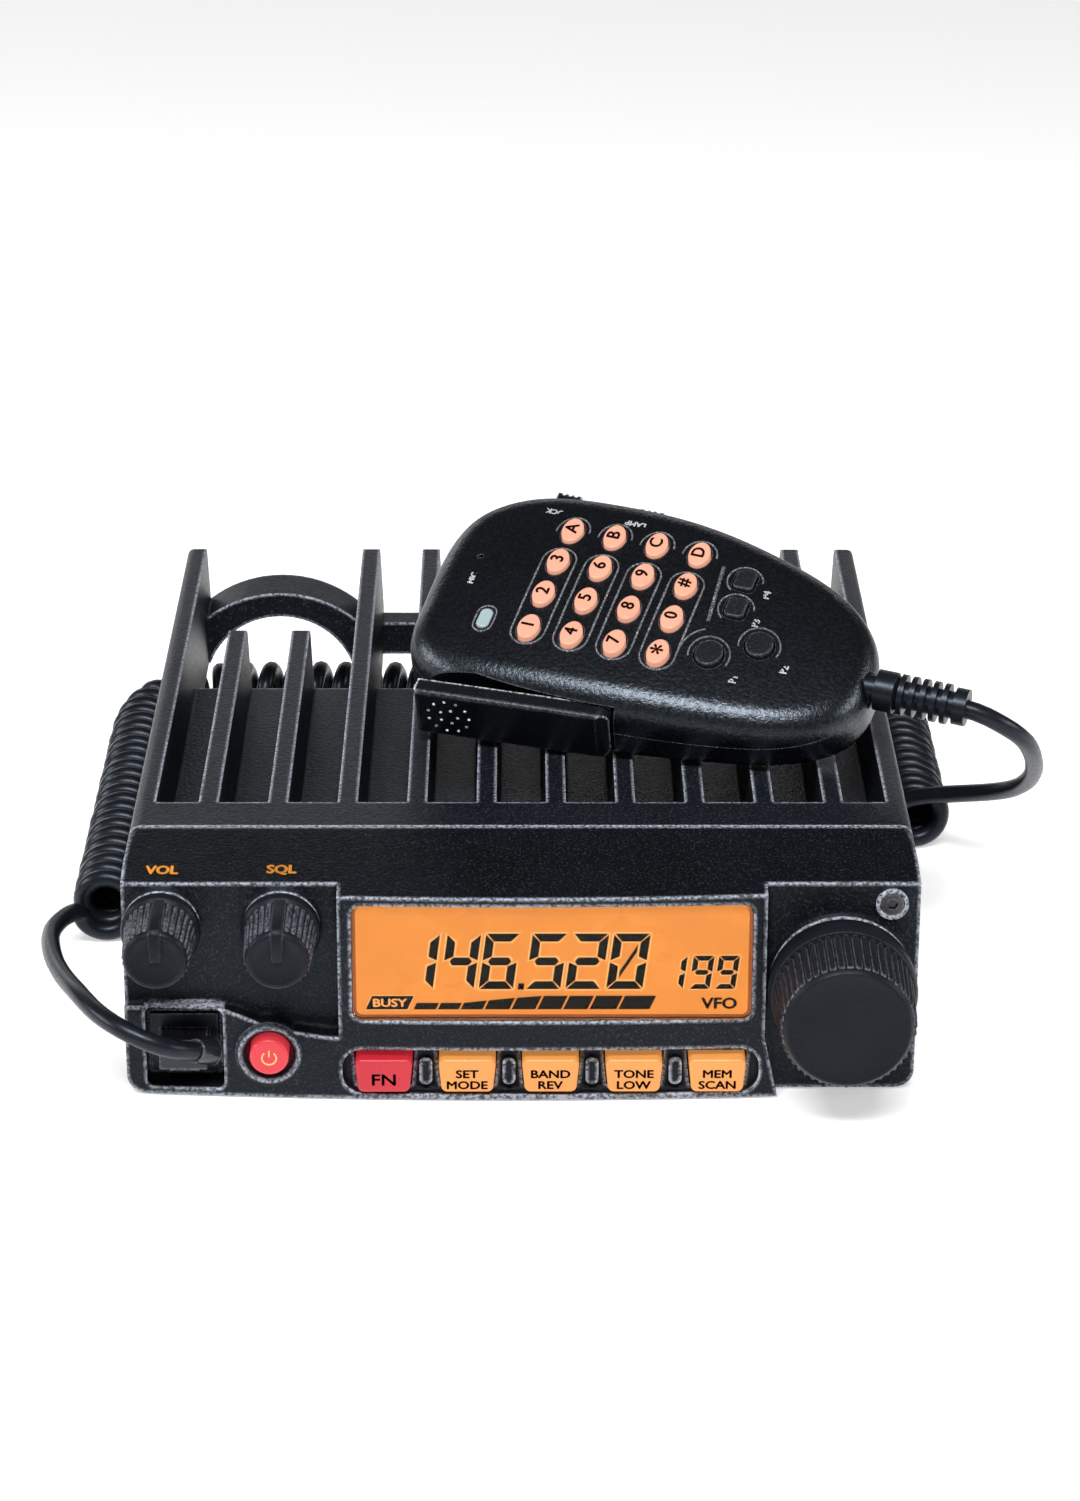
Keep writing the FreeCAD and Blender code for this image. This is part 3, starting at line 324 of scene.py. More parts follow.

# Each finish's edge colour is also painted onto its convex edges as a highlight.
FINISHES = (
    Finish("Die-cast powder coat", "die_cast", (0.0045, 0.0056, 0.0088), (0.62, 0.67, 0.78), 0.4,
           grain=1250.0, bump=0.6, edge_highlight=0.8, speck=0.045, specular=0.22, rounding=0.0012, reach=0.0008),
    Finish("Panel moulding", "panel_plastic", (0.0026, 0.003, 0.0045), (0.58, 0.62, 0.72), 0.38,
           grain=1350.0, bump=0.6, edge_highlight=0.85, speck=0.035, specular=0.2, rounding=0.0019, reach=0.0009),
    Finish("Cover paint", "cover_steel", (0.012, 0.013, 0.016), rough=0.4, bump=0.15, edge_highlight=0.3, speck=0.05),
    Finish("Black oxide", "screw_steel", (0.06, 0.06, 0.065), (0.5, 0.5, 0.5), 0.35, Surface.METAL,
           bump=0.05, edge_highlight=0.3, speck=0.1),
    Finish("Window plate", "window_clear", (1.0, 0.93, 0.84), (1.0, 0.93, 0.84), 0.03, Surface.CLEAR,
           mottle=0.0, **FLAT),
    Finish("Lit display glass", "lcd_amber", (0.82, 0.285, 0.036), (0.82, 0.285, 0.036), 0.3, glow=0.68,
           mottle=0.05, **LIT_FLAT),
    Finish("Board mask", "board_green", (0.02, 0.11, 0.05), rough=0.35, bump=0.1, edge_highlight=0.1, speck=0.1),
    Finish("Component moulding", "component_black", (0.02, 0.02, 0.022), rough=0.5, bump=0.15, edge_highlight=0.2,
           speck=0.1),
    Finish("Socket moulding", "socket_black", (0.006, 0.006, 0.008), (0.3, 0.31, 0.34), 0.36, bump=0.1,
           edge_highlight=0.8, speck=0.02, rounding=0.0004),
    Finish("Knob moulding", "knob_plastic", (0.006, 0.0065, 0.009), (0.2, 0.21, 0.25), 0.42, grain=2200.0,
           bump=0.2, edge_highlight=0.6, speck=0.03, specular=0.15, rounding=0.0002, reach=0.00025),
    Finish("Amber key", "key_amber", (0.90, 0.36, 0.09), (1.0, 0.62, 0.28), 0.33, glow=0.52, **LIT_KEY),
    Finish("Red key", "key_red", (0.62, 0.022, 0.04), (0.95, 0.3, 0.33), 0.33, glow=0.55, **LIT_KEY),
    Finish("Power key", "power_red", (0.74, 0.045, 0.065), (1.0, 0.42, 0.42), 0.33, glow=0.6, **LIT_KEY),
    Finish("Nickel plate", "nickel", (0.62, 0.6, 0.56), (0.8, 0.8, 0.78), 0.22, Surface.METAL, bump=0.03,
           edge_highlight=0.4, speck=0.0),
    Finish("Speaker", "speaker_black", (0.02, 0.02, 0.02), rough=0.6, bump=0.3),
    Finish("Microphone moulding", "handset_plastic", (0.0016, 0.0018, 0.0028), (0.4, 0.42, 0.5), 0.31,
           grain=1250.0, bump=0.42, edge_highlight=0.3, speck=0.015, specular=0.65, rounding=0.0003, reach=0.0002),
    Finish("Lever moulding", "lever_plastic", (0.004, 0.0045, 0.0065), (0.75, 0.77, 0.82), 0.33,
           grain=1700.0, bump=0.3, edge_highlight=1.0, speck=0.01, rounding=0.0004, reach=0.0005),
    # The rims are the microphone's own plastic, painted lighter and densely specked: a painted highlight.
    Finish("Rim plastic, painted highlight", "handset_plastic", (0.045, 0.047, 0.055), (0.6, 0.62, 0.66), 0.28, bump=0.4,
           edge_highlight=0.2, speck=0.8),
    Finish("Salmon key", "keypad_salmon", (0.93, 0.44, 0.3), (1.0, 0.62, 0.5), 0.4, Surface.LIT,
           grain=1200.0, bump=0.05, edge_highlight=0.1, speck=0.0, coat=0.1, glow=0.52, mottle=0.05, reach=0.0002),
    Finish("Dark key", "program_dark", (0.008, 0.009, 0.012), (0.3, 0.32, 0.36), 0.38, grain=1500.0,
           bump=0.2, edge_highlight=0.8, speck=0.06, rounding=0.0003),
    Finish("Indicator lens", "lens_pale", (0.62, 0.8, 0.82), (0.9, 0.98, 0.98), 0.2, Surface.LIT,
           grain=600.0, bump=0.0, edge_highlight=0.2, speck=0.0, coat=0.6, glow=0.1, mottle=0.05),
    Finish("Drawn aluminium", "capsule_metal", (0.6, 0.6, 0.6), (0.8, 0.8, 0.8), 0.3, Surface.METAL),
    Finish("Cord jacket", "cord_rubber", (0.006, 0.007, 0.010), (0.1, 0.11, 0.13), 0.33, grain=900.0,
           bump=0.06, edge_highlight=0.0, speck=0.0),
    Finish("Smoky plug", "plug_plastic", (0.012, 0.013, 0.016), (0.3, 0.32, 0.34), 0.22, bump=0.03,
           edge_highlight=0.7, speck=0.0, coat=0.4, rounding=0.0003),
    Finish("Orange print", "key_amber", (0.80, 0.33, 0.04), (0.85, 0.36, 0.05), **INK),
    Finish("White print", "lens_pale", (0.72, 0.74, 0.76), (0.8, 0.8, 0.8), **INK),
    Finish("Legend ink", "screw_steel", (0.025, 0.006, 0.005), (0.03, 0.01, 0.01), 0.8, specular=0.05,
           **FLAT),
    Finish("Segment black", "lcd_amber", (0.003, 0.002, 0.002), (0.003, 0.002, 0.002), 0.9, specular=0.0,
           **FLAT),
    Finish("Segment halo", "lcd_amber", (0.98, 0.50, 0.17), (0.98, 0.5, 0.17), glow=0.7, mottle=0.02,
           **LIT_FLAT),
    Finish("Display border", "lcd_amber", (0.52, 0.13, 0.02), (0.52, 0.13, 0.02), glow=0.3, mottle=0.02,
           **LIT_FLAT),
)


class FinishShelf:
    """Every finish as a material, by its name and by its record slot."""

    def __init__(self) -> None:
        """Build the shared groups and all the materials."""
        groups = ShaderGroups()
        self.by_name: dict[str, tuple[Finish, bpy.types.Material]] = {}
        self.by_slot: dict[str, str] = {}
        for finish in FINISHES:
            self.by_name[finish.name] = (finish, finish.build(groups))
            self.by_slot.setdefault(finish.slot, finish.name)

    def material(self, name: str) -> bpy.types.Material:
        """Give the material of a finish by its name."""
        return self.by_name[name][1]

    def dress(self, piece: bpy.types.Object, name: str) -> None:
        """Give a piece one finish."""
        finish, material = self.by_name[name]
        piece.data.materials.clear()
        piece.data.materials.append(material)


# ---------------------------------------------------------------- making and finishing pieces
def new_piece(name: str, data: bpy.types.ID) -> bpy.types.Object:
    """Put a mesh, curve, camera or light in the scene as an object at the origin."""
    piece = bpy.data.objects.new(name, data)
    bpy.context.scene.collection.objects.link(piece)
    return piece


@contextmanager
def editing(mesh: bpy.types.Mesh) -> Iterator[bmesh.types.BMesh]:
    """Open a mesh for editing, and write it back at the end."""
    work = bmesh.new()
    work.from_mesh(mesh)
    yield work
    work.to_mesh(mesh)
    work.free()


def face_outward(mesh: bpy.types.Mesh) -> None:
    """Turn a closed mesh's normals outward."""
    with editing(mesh) as work:
        bmesh.ops.recalc_face_normals(work, faces=work.faces)


def band(low: int, high: int, count: int) -> list[tuple[int, ...]]:
    """Give the faces between two rings of corners that start at two corner numbers."""
    return [(low + k, low + (k + 1) % count, high + (k + 1) % count, high + k) for k in range(count)]


def mesh_from(name: str, points: Iterable[Sequence[float]], faces: Iterable[Sequence[int]],
              outward: bool = True) -> bpy.types.Mesh:
    """Make a mesh from points and faces, with its normals outward.

    Args:
        name: The mesh's name.
        points: Corner places in metres.
        faces: Corner numbers of each face.
        outward: Whether the normals are worked out again.

    Returns:
        The mesh.
    """
    mesh = bpy.data.meshes.new(name)
    mesh.from_pydata([tuple(point) for point in points], [], [tuple(corners) for corners in faces])
    if outward:
        face_outward(mesh)
    return mesh


def shade(mesh: bpy.types.Mesh, angle: float = 32.0) -> None:
    """Shade a mesh smooth, with its edges over an angle in degrees kept sharp."""
    with editing(mesh) as work:
        for face in work.faces:
            face.smooth = True
        for edge in work.edges:
            shared = len(edge.link_faces) == 2
            edge.smooth = not (shared and edge.calc_face_angle(0.0) > math.radians(angle))


def evaluated(piece: bpy.types.Object) -> bpy.types.Mesh:
    """Give the plain mesh that an object comes to, with its modifiers."""
    graph = bpy.context.evaluated_depsgraph_get()
    graph.update()
    return bpy.data.meshes.new_from_object(piece.evaluated_get(graph))


def bake(piece: bpy.types.Object) -> None:
    """Turn a piece's modifiers into its plain mesh."""
    mesh = evaluated(piece)
    piece.modifiers.clear()
    piece.data = mesh


def joined(name: str, meshes: Sequence[bpy.types.Mesh]) -> bpy.types.Mesh:
    """Put several meshes into one.

    Args:
        name: The new mesh's name.
        meshes: The meshes; they are removed afterwards.

    Returns:
        One mesh with all of them.
    """
    work = bmesh.new()
    for mesh in meshes:
        work.from_mesh(mesh)
    whole = bpy.data.meshes.new(name)
    work.to_mesh(whole)
    work.free()
    for mesh in meshes:
        bpy.data.meshes.remove(mesh)
    return whole


def moved(mesh: bpy.types.Mesh, place: Matrix) -> bpy.types.Mesh:
    """Move a mesh's corners by a placement and return the mesh."""
    mesh.transform(place)
    return mesh


def prism(name: str, outline: Sequence[Flat], low: float, high: float) -> bpy.types.Mesh:
    """Make a straight prism over a closed outline, along its local Z.

    Args:
        name: The mesh's name.
        outline: Corners in the local XY plane.
        low: Where it starts along Z.
        high: Where it ends along Z.

    Returns:
        The closed mesh.
    """
    count = len(outline)
    points = [(x, y, low) for x, y in outline] + [(x, y, high) for x, y in outline]
    ends = [tuple(range(count))[::-1], tuple(range(count, 2 * count))]
    return mesh_from(name, points, band(0, count, count) + ends)


def turned(name: str, profile: Sequence[Flat], around: int) -> bpy.types.Mesh:
    """Turn a profile round the local Z axis; both of its ends lie on the axis.

    Args:
        name: The mesh's name.
        profile: Radius and height of each ring, the ends with radius 0.
        around: How many corners each ring has.

    Returns:
        The closed mesh.
    """
    points: list[Point] = [(0.0, 0.0, profile[0][1])]
    for radius, height in profile[1:-1]:
        for step in range(around):
            angle = 2 * math.pi * step / around
            points.append((radius * math.cos(angle), radius * math.sin(angle), height))
    points.append((0.0, 0.0, profile[-1][1]))
    faces: list[tuple[int, ...]] = [(0, 1 + step, 1 + (step + 1) % around) for step in range(around)]
    last = 1 + (len(profile) - 3) * around
    for low in range(1, last, around):
        faces += band(low, low + around, around)
    faces += [(len(points) - 1, last + (step + 1) % around, last + step) for step in range(around)]
    return mesh_from(name, points, faces)


def bead(name: str, line: Sequence[Vector], lift: Sequence[Vector], radius: float, closed: bool,
         sides: int = 8) -> bpy.types.Mesh:
    """Lay a thin round bead along a line.

    Args:
        name: The mesh's name.
        line: The points that its middle follows.
        lift: The upward direction at each point.
        radius: The bead's radius.
        closed: Whether the line closes on itself.
        sides: Corners round the bead.

    Returns:
        The closed mesh.
    """
    count = len(line)
    points: list[Vector] = []
    for index, here in enumerate(line):
        after = line[(index + 1) % count] if closed or index < count - 1 else here
        before = line[index - 1] if closed or index > 0 else here
        along = (after - before).normalized()
        across = along.cross(lift[index]).normalized()
        up = across.cross(along)
        for side in range(sides):
            angle = 2 * math.pi * side / sides
            points.append(here + across * (radius * math.cos(angle)) + up * (radius * math.sin(angle)))
    faces: list[tuple[int, ...]] = []
    for index in range(count if closed else count - 1):
        faces += band(index * sides, ((index + 1) % count) * sides, sides)
    if not closed:
        faces += [tuple(range(sides)), tuple(range((count - 1) * sides, count * sides))]
    return mesh_from(name, points, faces)


def lettering(name: str, words: str, size: float, thick: float, bold: float = 0.0,
              stretch: float = 1.0) -> bpy.types.Mesh:
    """Make raised lettering in the local XY plane, centred, facing +Z.

    Args:
        name: The mesh's name.
        words: What it says.
        size: Height of a capital letter in metres.
        thick: How far it stands up.
        bold: Extra stroke width in metres.
        stretch: Width of the letters over their plain width.

    Returns:
        The mesh.
    """
    curve = bpy.data.curves.new(name, "FONT")
    curve.body = words
    curve.align_x = "CENTER"
    curve.align_y = "CENTER"
    curve.size = 1.0
    scale = size / CAPITAL_SHARE
    curve.extrude = 0.5 * thick / scale
    curve.resolution_u = 3
    letters = new_piece(name, curve)
    mesh = evaluated(letters)
    bpy.data.objects.remove(letters)
    mesh.transform(Matrix.Diagonal((scale * stretch, scale, scale, 1.0)))
    middle = [(min(v.co[k] for v in mesh.vertices) + max(v.co[k] for v in mesh.vertices)) / 2 for k in (0,
                                                                                                        1)]
    mesh.transform(Matrix.Translation((-middle[0], -middle[1], 0.0)))
    if bold <= 0.0:
        return mesh
    copies = [mesh]
    for aside, up in ((-0.5, 0.0), (0.5, 0.0), (0.0, -0.35), (0.0, 0.35)):
        copies.append(moved(mesh.copy(), Matrix.Translation((aside * bold, up * bold, 0.0))))
    return joined(name, copies)


def facing_front(x: float, y: float, z: float) -> Matrix:
    """Placement that turns a shape's +Z to the front at a point in millimetres."""
    return Matrix.Translation(at(x, y, z)) @ Matrix.Rotation(math.radians(90.0), 4, "X")


class Workshop:
    """Dresses pieces and hangs them on their bodies."""

    FLAT_ANGLE = 0.6  # degrees under which neighbouring facets are one face

    def __init__(self, shelf: FinishShelf) -> None:
        """Keep the finishes, and where every CAD node rides."""
        self.shelf = shelf
        bodies = frame["record"]["behaviour"]["bodies"]
        self.body_of = {node: body for body, nodes in bodies.items() for node in nodes}
        self.slot_of = {entry["node"]: entry["material_slot"] for entry in frame["record"]["subparts"]}

    def keep(self, piece: bpy.types.Object, finish: str, body: str = ROOT_BODY,
             stands_for: Sequence[str] = ()) -> bpy.types.Object:
        """Finish a piece: dress it, hang it on its body and hide the CAD nodes that it replaces.

        Args:
            piece: The piece, at the origin.
            finish: Name of its finish.
            body: The body that it rides on.
            stands_for: CAD nodes that it replaces.

        Returns:
            The same piece.
        """
        self.shelf.dress(piece, finish)
        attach(piece, body)
        if stands_for:
            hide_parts(*stands_for)
        LOG.info("%s on %s, %d faces", piece.name, body, len(getattr(piece.data, "polygons", ())))
        return piece

    def copy_of(self, node: str, finish: Optional[str] = None, edge: float = 0.0,
                sharp: float = 32.0) -> bpy.types.Object:
        """Replace a CAD node by a welded copy, shaded smooth, with its sharp edges rounded.

        Args:
            node: The CAD node.
            finish: Name of its finish, or the first one of its slot.
            edge: Width of the edge rounding in metres, or 0.
            sharp: Angle in degrees over which an edge is rounded and kept crisp.

        Returns:
            The new piece.
        """
        work = bmesh.new()
        work.from_mesh(frame["nodes"][node].data)
        bmesh.ops.remove_doubles(work, verts=work.verts, dist=WELD)
        bmesh.ops.dissolve_degenerate(work, edges=work.edges, dist=WELD)
        if edge > 0.0:
            flat = math.radians(self.FLAT_ANGLE)
            bmesh.ops.dissolve_limit(work, angle_limit=flat, verts=work.verts, edges=work.edges)
        mesh = bpy.data.meshes.new(node + "_finished")
        work.to_mesh(mesh)
        work.free()
        piece = new_piece(node + "_finished", mesh)
        if edge > 0.0:
            bevel = piece.modifiers.new("Rounded edges", "BEVEL")
            bevel.width = edge
            bevel.segments = 2
            bevel.limit_method = "ANGLE"
            bevel.angle_limit = math.radians(sharp)
            bevel.use_clamp_overlap = False
            bevel.miter_outer = "MITER_ARC"
            bake(piece)
        shade(piece.data, sharp)
        name = finish or self.shelf.by_slot[self.slot_of[node]]
        return self.keep(piece, name, self.body_of[node], (node,))


class Repeater:
    """Geometry node trees that repeat one small shape."""

    def __init__(self, shelf: FinishShelf) -> None:
        """Build the two trees."""
        self.shelf = shelf
        self.ring = self._tree("Ring of pieces", True)
        self.row = self._tree("Row of pieces", False)

    @staticmethod
    def _tree(name: str, round_about: bool) -> bpy.types.NodeTree:
        """Build a tree that repeats the object's own shape.

        Args:
            name: The tree's name.
            round_about: True for a ring about local Z, False for a row along local Z.

        Returns:
            The tree, with inputs Count, Spacing (radians or metres) and Material.
        """
        tree = bpy.data.node_groups.new(name, "GeometryNodeTree")
        tree.interface.new_socket("Geometry", in_out="INPUT", socket_type="NodeSocketGeometry")
        count = tree.interface.new_socket("Count", in_out="INPUT", socket_type="NodeSocketInt")
        count.default_value = 8
        spacing = tree.interface.new_socket("Spacing", in_out="INPUT", socket_type="NodeSocketFloat")
        spacing.default_value = 1.0
        tree.interface.new_socket("Material", in_out="INPUT", socket_type="NodeSocketMaterial")
        tree.interface.new_socket("Geometry", in_out="OUTPUT", socket_type="NodeSocketGeometry")
        sheet = NodeSheet(tree)
        given = sheet.add("NodeGroupInput")
        out = sheet.add("NodeGroupOutput")
        points = sheet.add("GeometryNodePoints", None, Count=given.outputs["Count"])
        index = sheet.add("GeometryNodeInputIndex").outputs[0]
        step = sheet.maths("MULTIPLY", index, given.outputs["Spacing"])
        parts = sheet.add("ShaderNodeCombineXYZ", None, Z=step)
        spread = sheet.add("GeometryNodeInstanceOnPoints", None, Points=points.outputs[0],
                           Instance=given.outputs["Geometry"])
        if round_about:
            sheet.tree.links.new(parts.outputs[0], spread.inputs["Rotation"])
        else:
            shift = sheet.add("GeometryNodeSetPosition", None, Geometry=points.outputs[0],
                              Offset=parts.outputs[0])
            sheet.tree.links.new(shift.outputs[0], spread.inputs["Points"])
        real = sheet.add("GeometryNodeRealizeInstances", None, Geometry=spread.outputs[0])
        painted = sheet.add("GeometryNodeSetMaterial", None, Geometry=real.outputs[0],
                            Material=given.outputs["Material"])
        sheet.feed(out, "Geometry", painted.outputs[0])
        return tree

    def repeat(self, name: str, shape: bpy.types.Mesh, tree: bpy.types.NodeTree, count: int, spacing: float,
               finish: str) -> bpy.types.Mesh:
        """Repeat a shape and return the plain result.

        Args:
            name: The new mesh's name.
            shape: One piece, in the ring's or the row's own place.
            tree: The ring or the row tree.
            count: How many pieces.
            spacing: Step between them, in radians about Z or in metres along Z.
            finish: The finish's name.

        Returns:
            The repeated mesh.
        """
        carrier = new_piece(name, shape)
        modifier = carrier.modifiers.new(name, "NODES")
        modifier.node_group = tree
        given = {"Count": count, "Spacing": spacing, "Material": self.shelf.material(finish)}
        for item in tree.interface.items_tree:
            if item.in_out == "INPUT" and item.name in given:
                modifier[item.identifier] = given[item.name]
        bake(carrier)
        mesh = carrier.data
        mesh.name = name
        bpy.data.objects.remove(carrier)
        bpy.data.meshes.remove(shape)
        return mesh


# ---------------------------------------------------------------- studio and cord
@dataclass
class Studio:
    """Pale floor, soft lights and the camera.

    Attributes:
        stand: Camera place in millimetres about the panel datum.
        tilt: How far the camera looks down, in degrees.
        swing: How far it looks to the right, in degrees.
        roll: How far it is turned about its own axis, in degrees.
        lens: Focal length for a 36 mm sensor.
        shift: Sensor shift across and up, over the long side.
        floor_tone: How pale the floor is.
        floor_glow: Its own light, which keeps it near white.
    """

    stand: Point = (-0.816, -743.55, 393.71)
    tilt: float = 22.986
    swing: float = 0.903
    roll: float = 0.366
    lens: float = 98.51
    shift: Flat = (-0.0246, -0.0079)
    floor_tone: float = 0.84
    floor_glow: float = 0.44

    LIGHTS = (  # name, place, aim, width and height in metres, watts
        ("Key", (-0.1, -0.84, 1.24), (0.0, -0.02, 0.04), (1.1, 0.36), 32.0),
        ("Horizon", (0.0, 1.75, 0.62), (0.0, 0.1, 0.03), (2.0, 0.22), 3.0),
        ("Back left", (-0.85, 1.5, 0.34), (-0.03, 0.05, 0.04), (0.6, 0.36), 1.2),
        ("Left side", (-1.35, -0.1, 0.5), (0.0, 0.0, 0.04), (0.9, 0.3), 9.0),
        ("Right side", (1.35, -0.1, 0.5), (0.0, 0.0, 0.04), (0.9, 0.3), 7.0),
    )

    def camera(self) -> None:
        """Place the camera."""
        tilt, swing, roll = (math.radians(angle) for angle in (self.tilt, self.swing, self.roll))
        ahead = Vector((math.sin(swing) * math.cos(tilt), math.cos(swing) * math.cos(tilt),
                        -math.sin(tilt)))
        level = Vector((math.cos(swing), -math.sin(swing), 0.0))
        upright = level.cross(ahead)
        right = level * math.cos(roll) + upright * math.sin(roll)
        up = upright * math.cos(roll) - level * math.sin(roll)
        data = bpy.data.cameras.new("Camera")
        data.lens = self.lens
        data.sensor_width = 36.0
        data.shift_x, data.shift_y = self.shift
        data.clip_start = 0.05
        data.clip_end = 20.0
        camera = new_piece("Camera", data)
        turn = Matrix((right, up, -ahead)).transposed().to_4x4()
        camera.matrix_world = Matrix.Translation(at(*self.stand)) @ turn
        bpy.context.scene.camera = camera

    def floor(self) -> None:
        """Lay the pale floor."""
        half = 4.0
        corners = [(-half, -half, 0.0), (half, -half, 0.0), (half, half, 0.0), (-half, half, 0.0)]
        floor = new_piece("Floor", mesh_from("Floor", corners, [(0, 1, 2, 3)], outward=False))
        material = bpy.data.materials.new("Pale floor")
        material.use_nodes = True
        shader = material.node_tree.nodes["Principled BSDF"]
        shader.inputs["Base Color"].default_value = (self.floor_tone,) * 3 + (1.0,)
        shader.inputs["Roughness"].default_value = 0.22
        shader.inputs["Specular IOR Level"].default_value = 0.35
        shader.inputs["Emission Color"].default_value = (1.0, 1.0, 1.0, 1.0)
        shader.inputs["Emission Strength"].default_value = self.floor_glow
        floor.data.materials.append(material)

    @staticmethod
    def area(name: str, place: Point, aim: Point, size: Flat, power: float) -> None:
        """Hang one soft rectangular light.

        Args:
            name: The light's name.
            place: Where it hangs, in metres.
            aim: What it points at, in metres.
            size: Its width and height in metres.
            power: Its power in watts.
        """
        data = bpy.data.lights.new(name, "AREA")
        data.shape = "RECTANGLE"
        data.size, data.size_y = size
        data.energy = power
        light = new_piece(name, data)
        light.location = place
        light.rotation_euler = (Vector(aim) - Vector(place)).to_track_quat("-Z", "Y").to_euler()

    def lights(self) -> None:
        """Hang the lights and set the pale surroundings."""
        for light in self.LIGHTS:
            self.area(*light)
        world = bpy.data.worlds.new("Pale surroundings")
        bpy.context.scene.world = world
        world.use_nodes = True
        sheet = NodeSheet(world.node_tree)
        sky = world.node_tree.nodes["Background"]
        sky.inputs["Color"].default_value = (1.0, 1.0, 1.0, 1.0)
        seen = sheet.add("ShaderNodeLightPath").outputs["Is Camera Ray"]
        sheet.feed(sky, "Strength", sheet.steps(seen, 0.0, 1.0, 0.05, 1.05))
        bpy.context.scene.view_settings.view_transform = "Standard"

    def build(self) -> None:
        """Set up the whole studio."""
        self.camera()
        self.floor()
        self.lights()


def smooth_line(name: str, route: Sequence[Vector], thickness: float = 0.0,
                steps: int = 12) -> bpy.types.Object:
    """Make one smooth open curve from its control points.

    Args:
        name: The curve's name.
        route: Control points in metres.
        thickness: Diameter, or 0 for a bare line.
        steps: Steps between control points.

    Returns:
        The curve object.
    """
    curve = bpy.data.curves.new(name, "CURVE")
    curve.dimensions = "3D"
    curve.resolution_u = steps
    curve.render_resolution_u = steps
    curve.twist_mode = "MINIMUM"
    if thickness > 0.0:
        curve.bevel_depth = thickness / 2
        curve.bevel_resolution = 3
        curve.use_fill_caps = True
    spline = curve.splines.new("NURBS")
    spline.points.add(len(route) - 1)
    for point, place in zip(spline.points, route):
        point.co = (*place, 1.0)
    spline.order_u = 3
    spline.use_endpoint_u = True
    return new_piece(name, curve)


def points_on(line: bpy.types.Object) -> list[Vector]:
    """Read the points that a bare smooth line passes through, and remove the line."""
    mesh = evaluated(line)
    places = [vertex.co.copy() for vertex in mesh.vertices]
    bpy.data.meshes.remove(mesh)
    bpy.data.objects.remove(line)
    return places


@dataclass(frozen=True)
class HandsetFrame:
    """The hand microphone's own axes: u to the cord end, v across to the back, n out of its face.

    Attributes:
        centre: Its origin in millimetres about the panel datum.
        yaw: Turn about Z in degrees.
        pitch: Turn about Y in degrees.
        roll: Turn about X in degrees.
        face_radius: Radius of the crowned face.
        crown_u: Where the face is highest.
    """

    centre: Point = (19.9, 75.9, 80.75)
    yaw: float = -18.9
    pitch: float = 4.84
    roll: float = 25.5
    face_radius: float = 230.0
    crown_u: float = 4.0

    def matrix(self) -> Matrix:
        """Placement from the microphone's millimetres turned to metres."""
        yaw, pitch, roll = (Matrix.Rotation(math.radians(angle), 4, axis)
                            for angle, axis in ((self.yaw, "Z"), (self.pitch, "Y"), (self.roll, "X")))
        return Matrix.Translation(at(*self.centre)) @ yaw @ pitch @ roll

    def place(self, u: float, v: float, n: float) -> Vector:
        """Give a point of the microphone in metres in the part's frame."""
        return self.matrix() @ Vector((u * MM, v * MM, n * MM))

    def face_n(self, u: float, v: float) -> float:
        """Give the height of the crowned face at a place, in millimetres."""
        reach = (u - self.crown_u) ** 2 + v ** 2
        return math.sqrt(self.face_radius ** 2 - reach) - self.face_radius


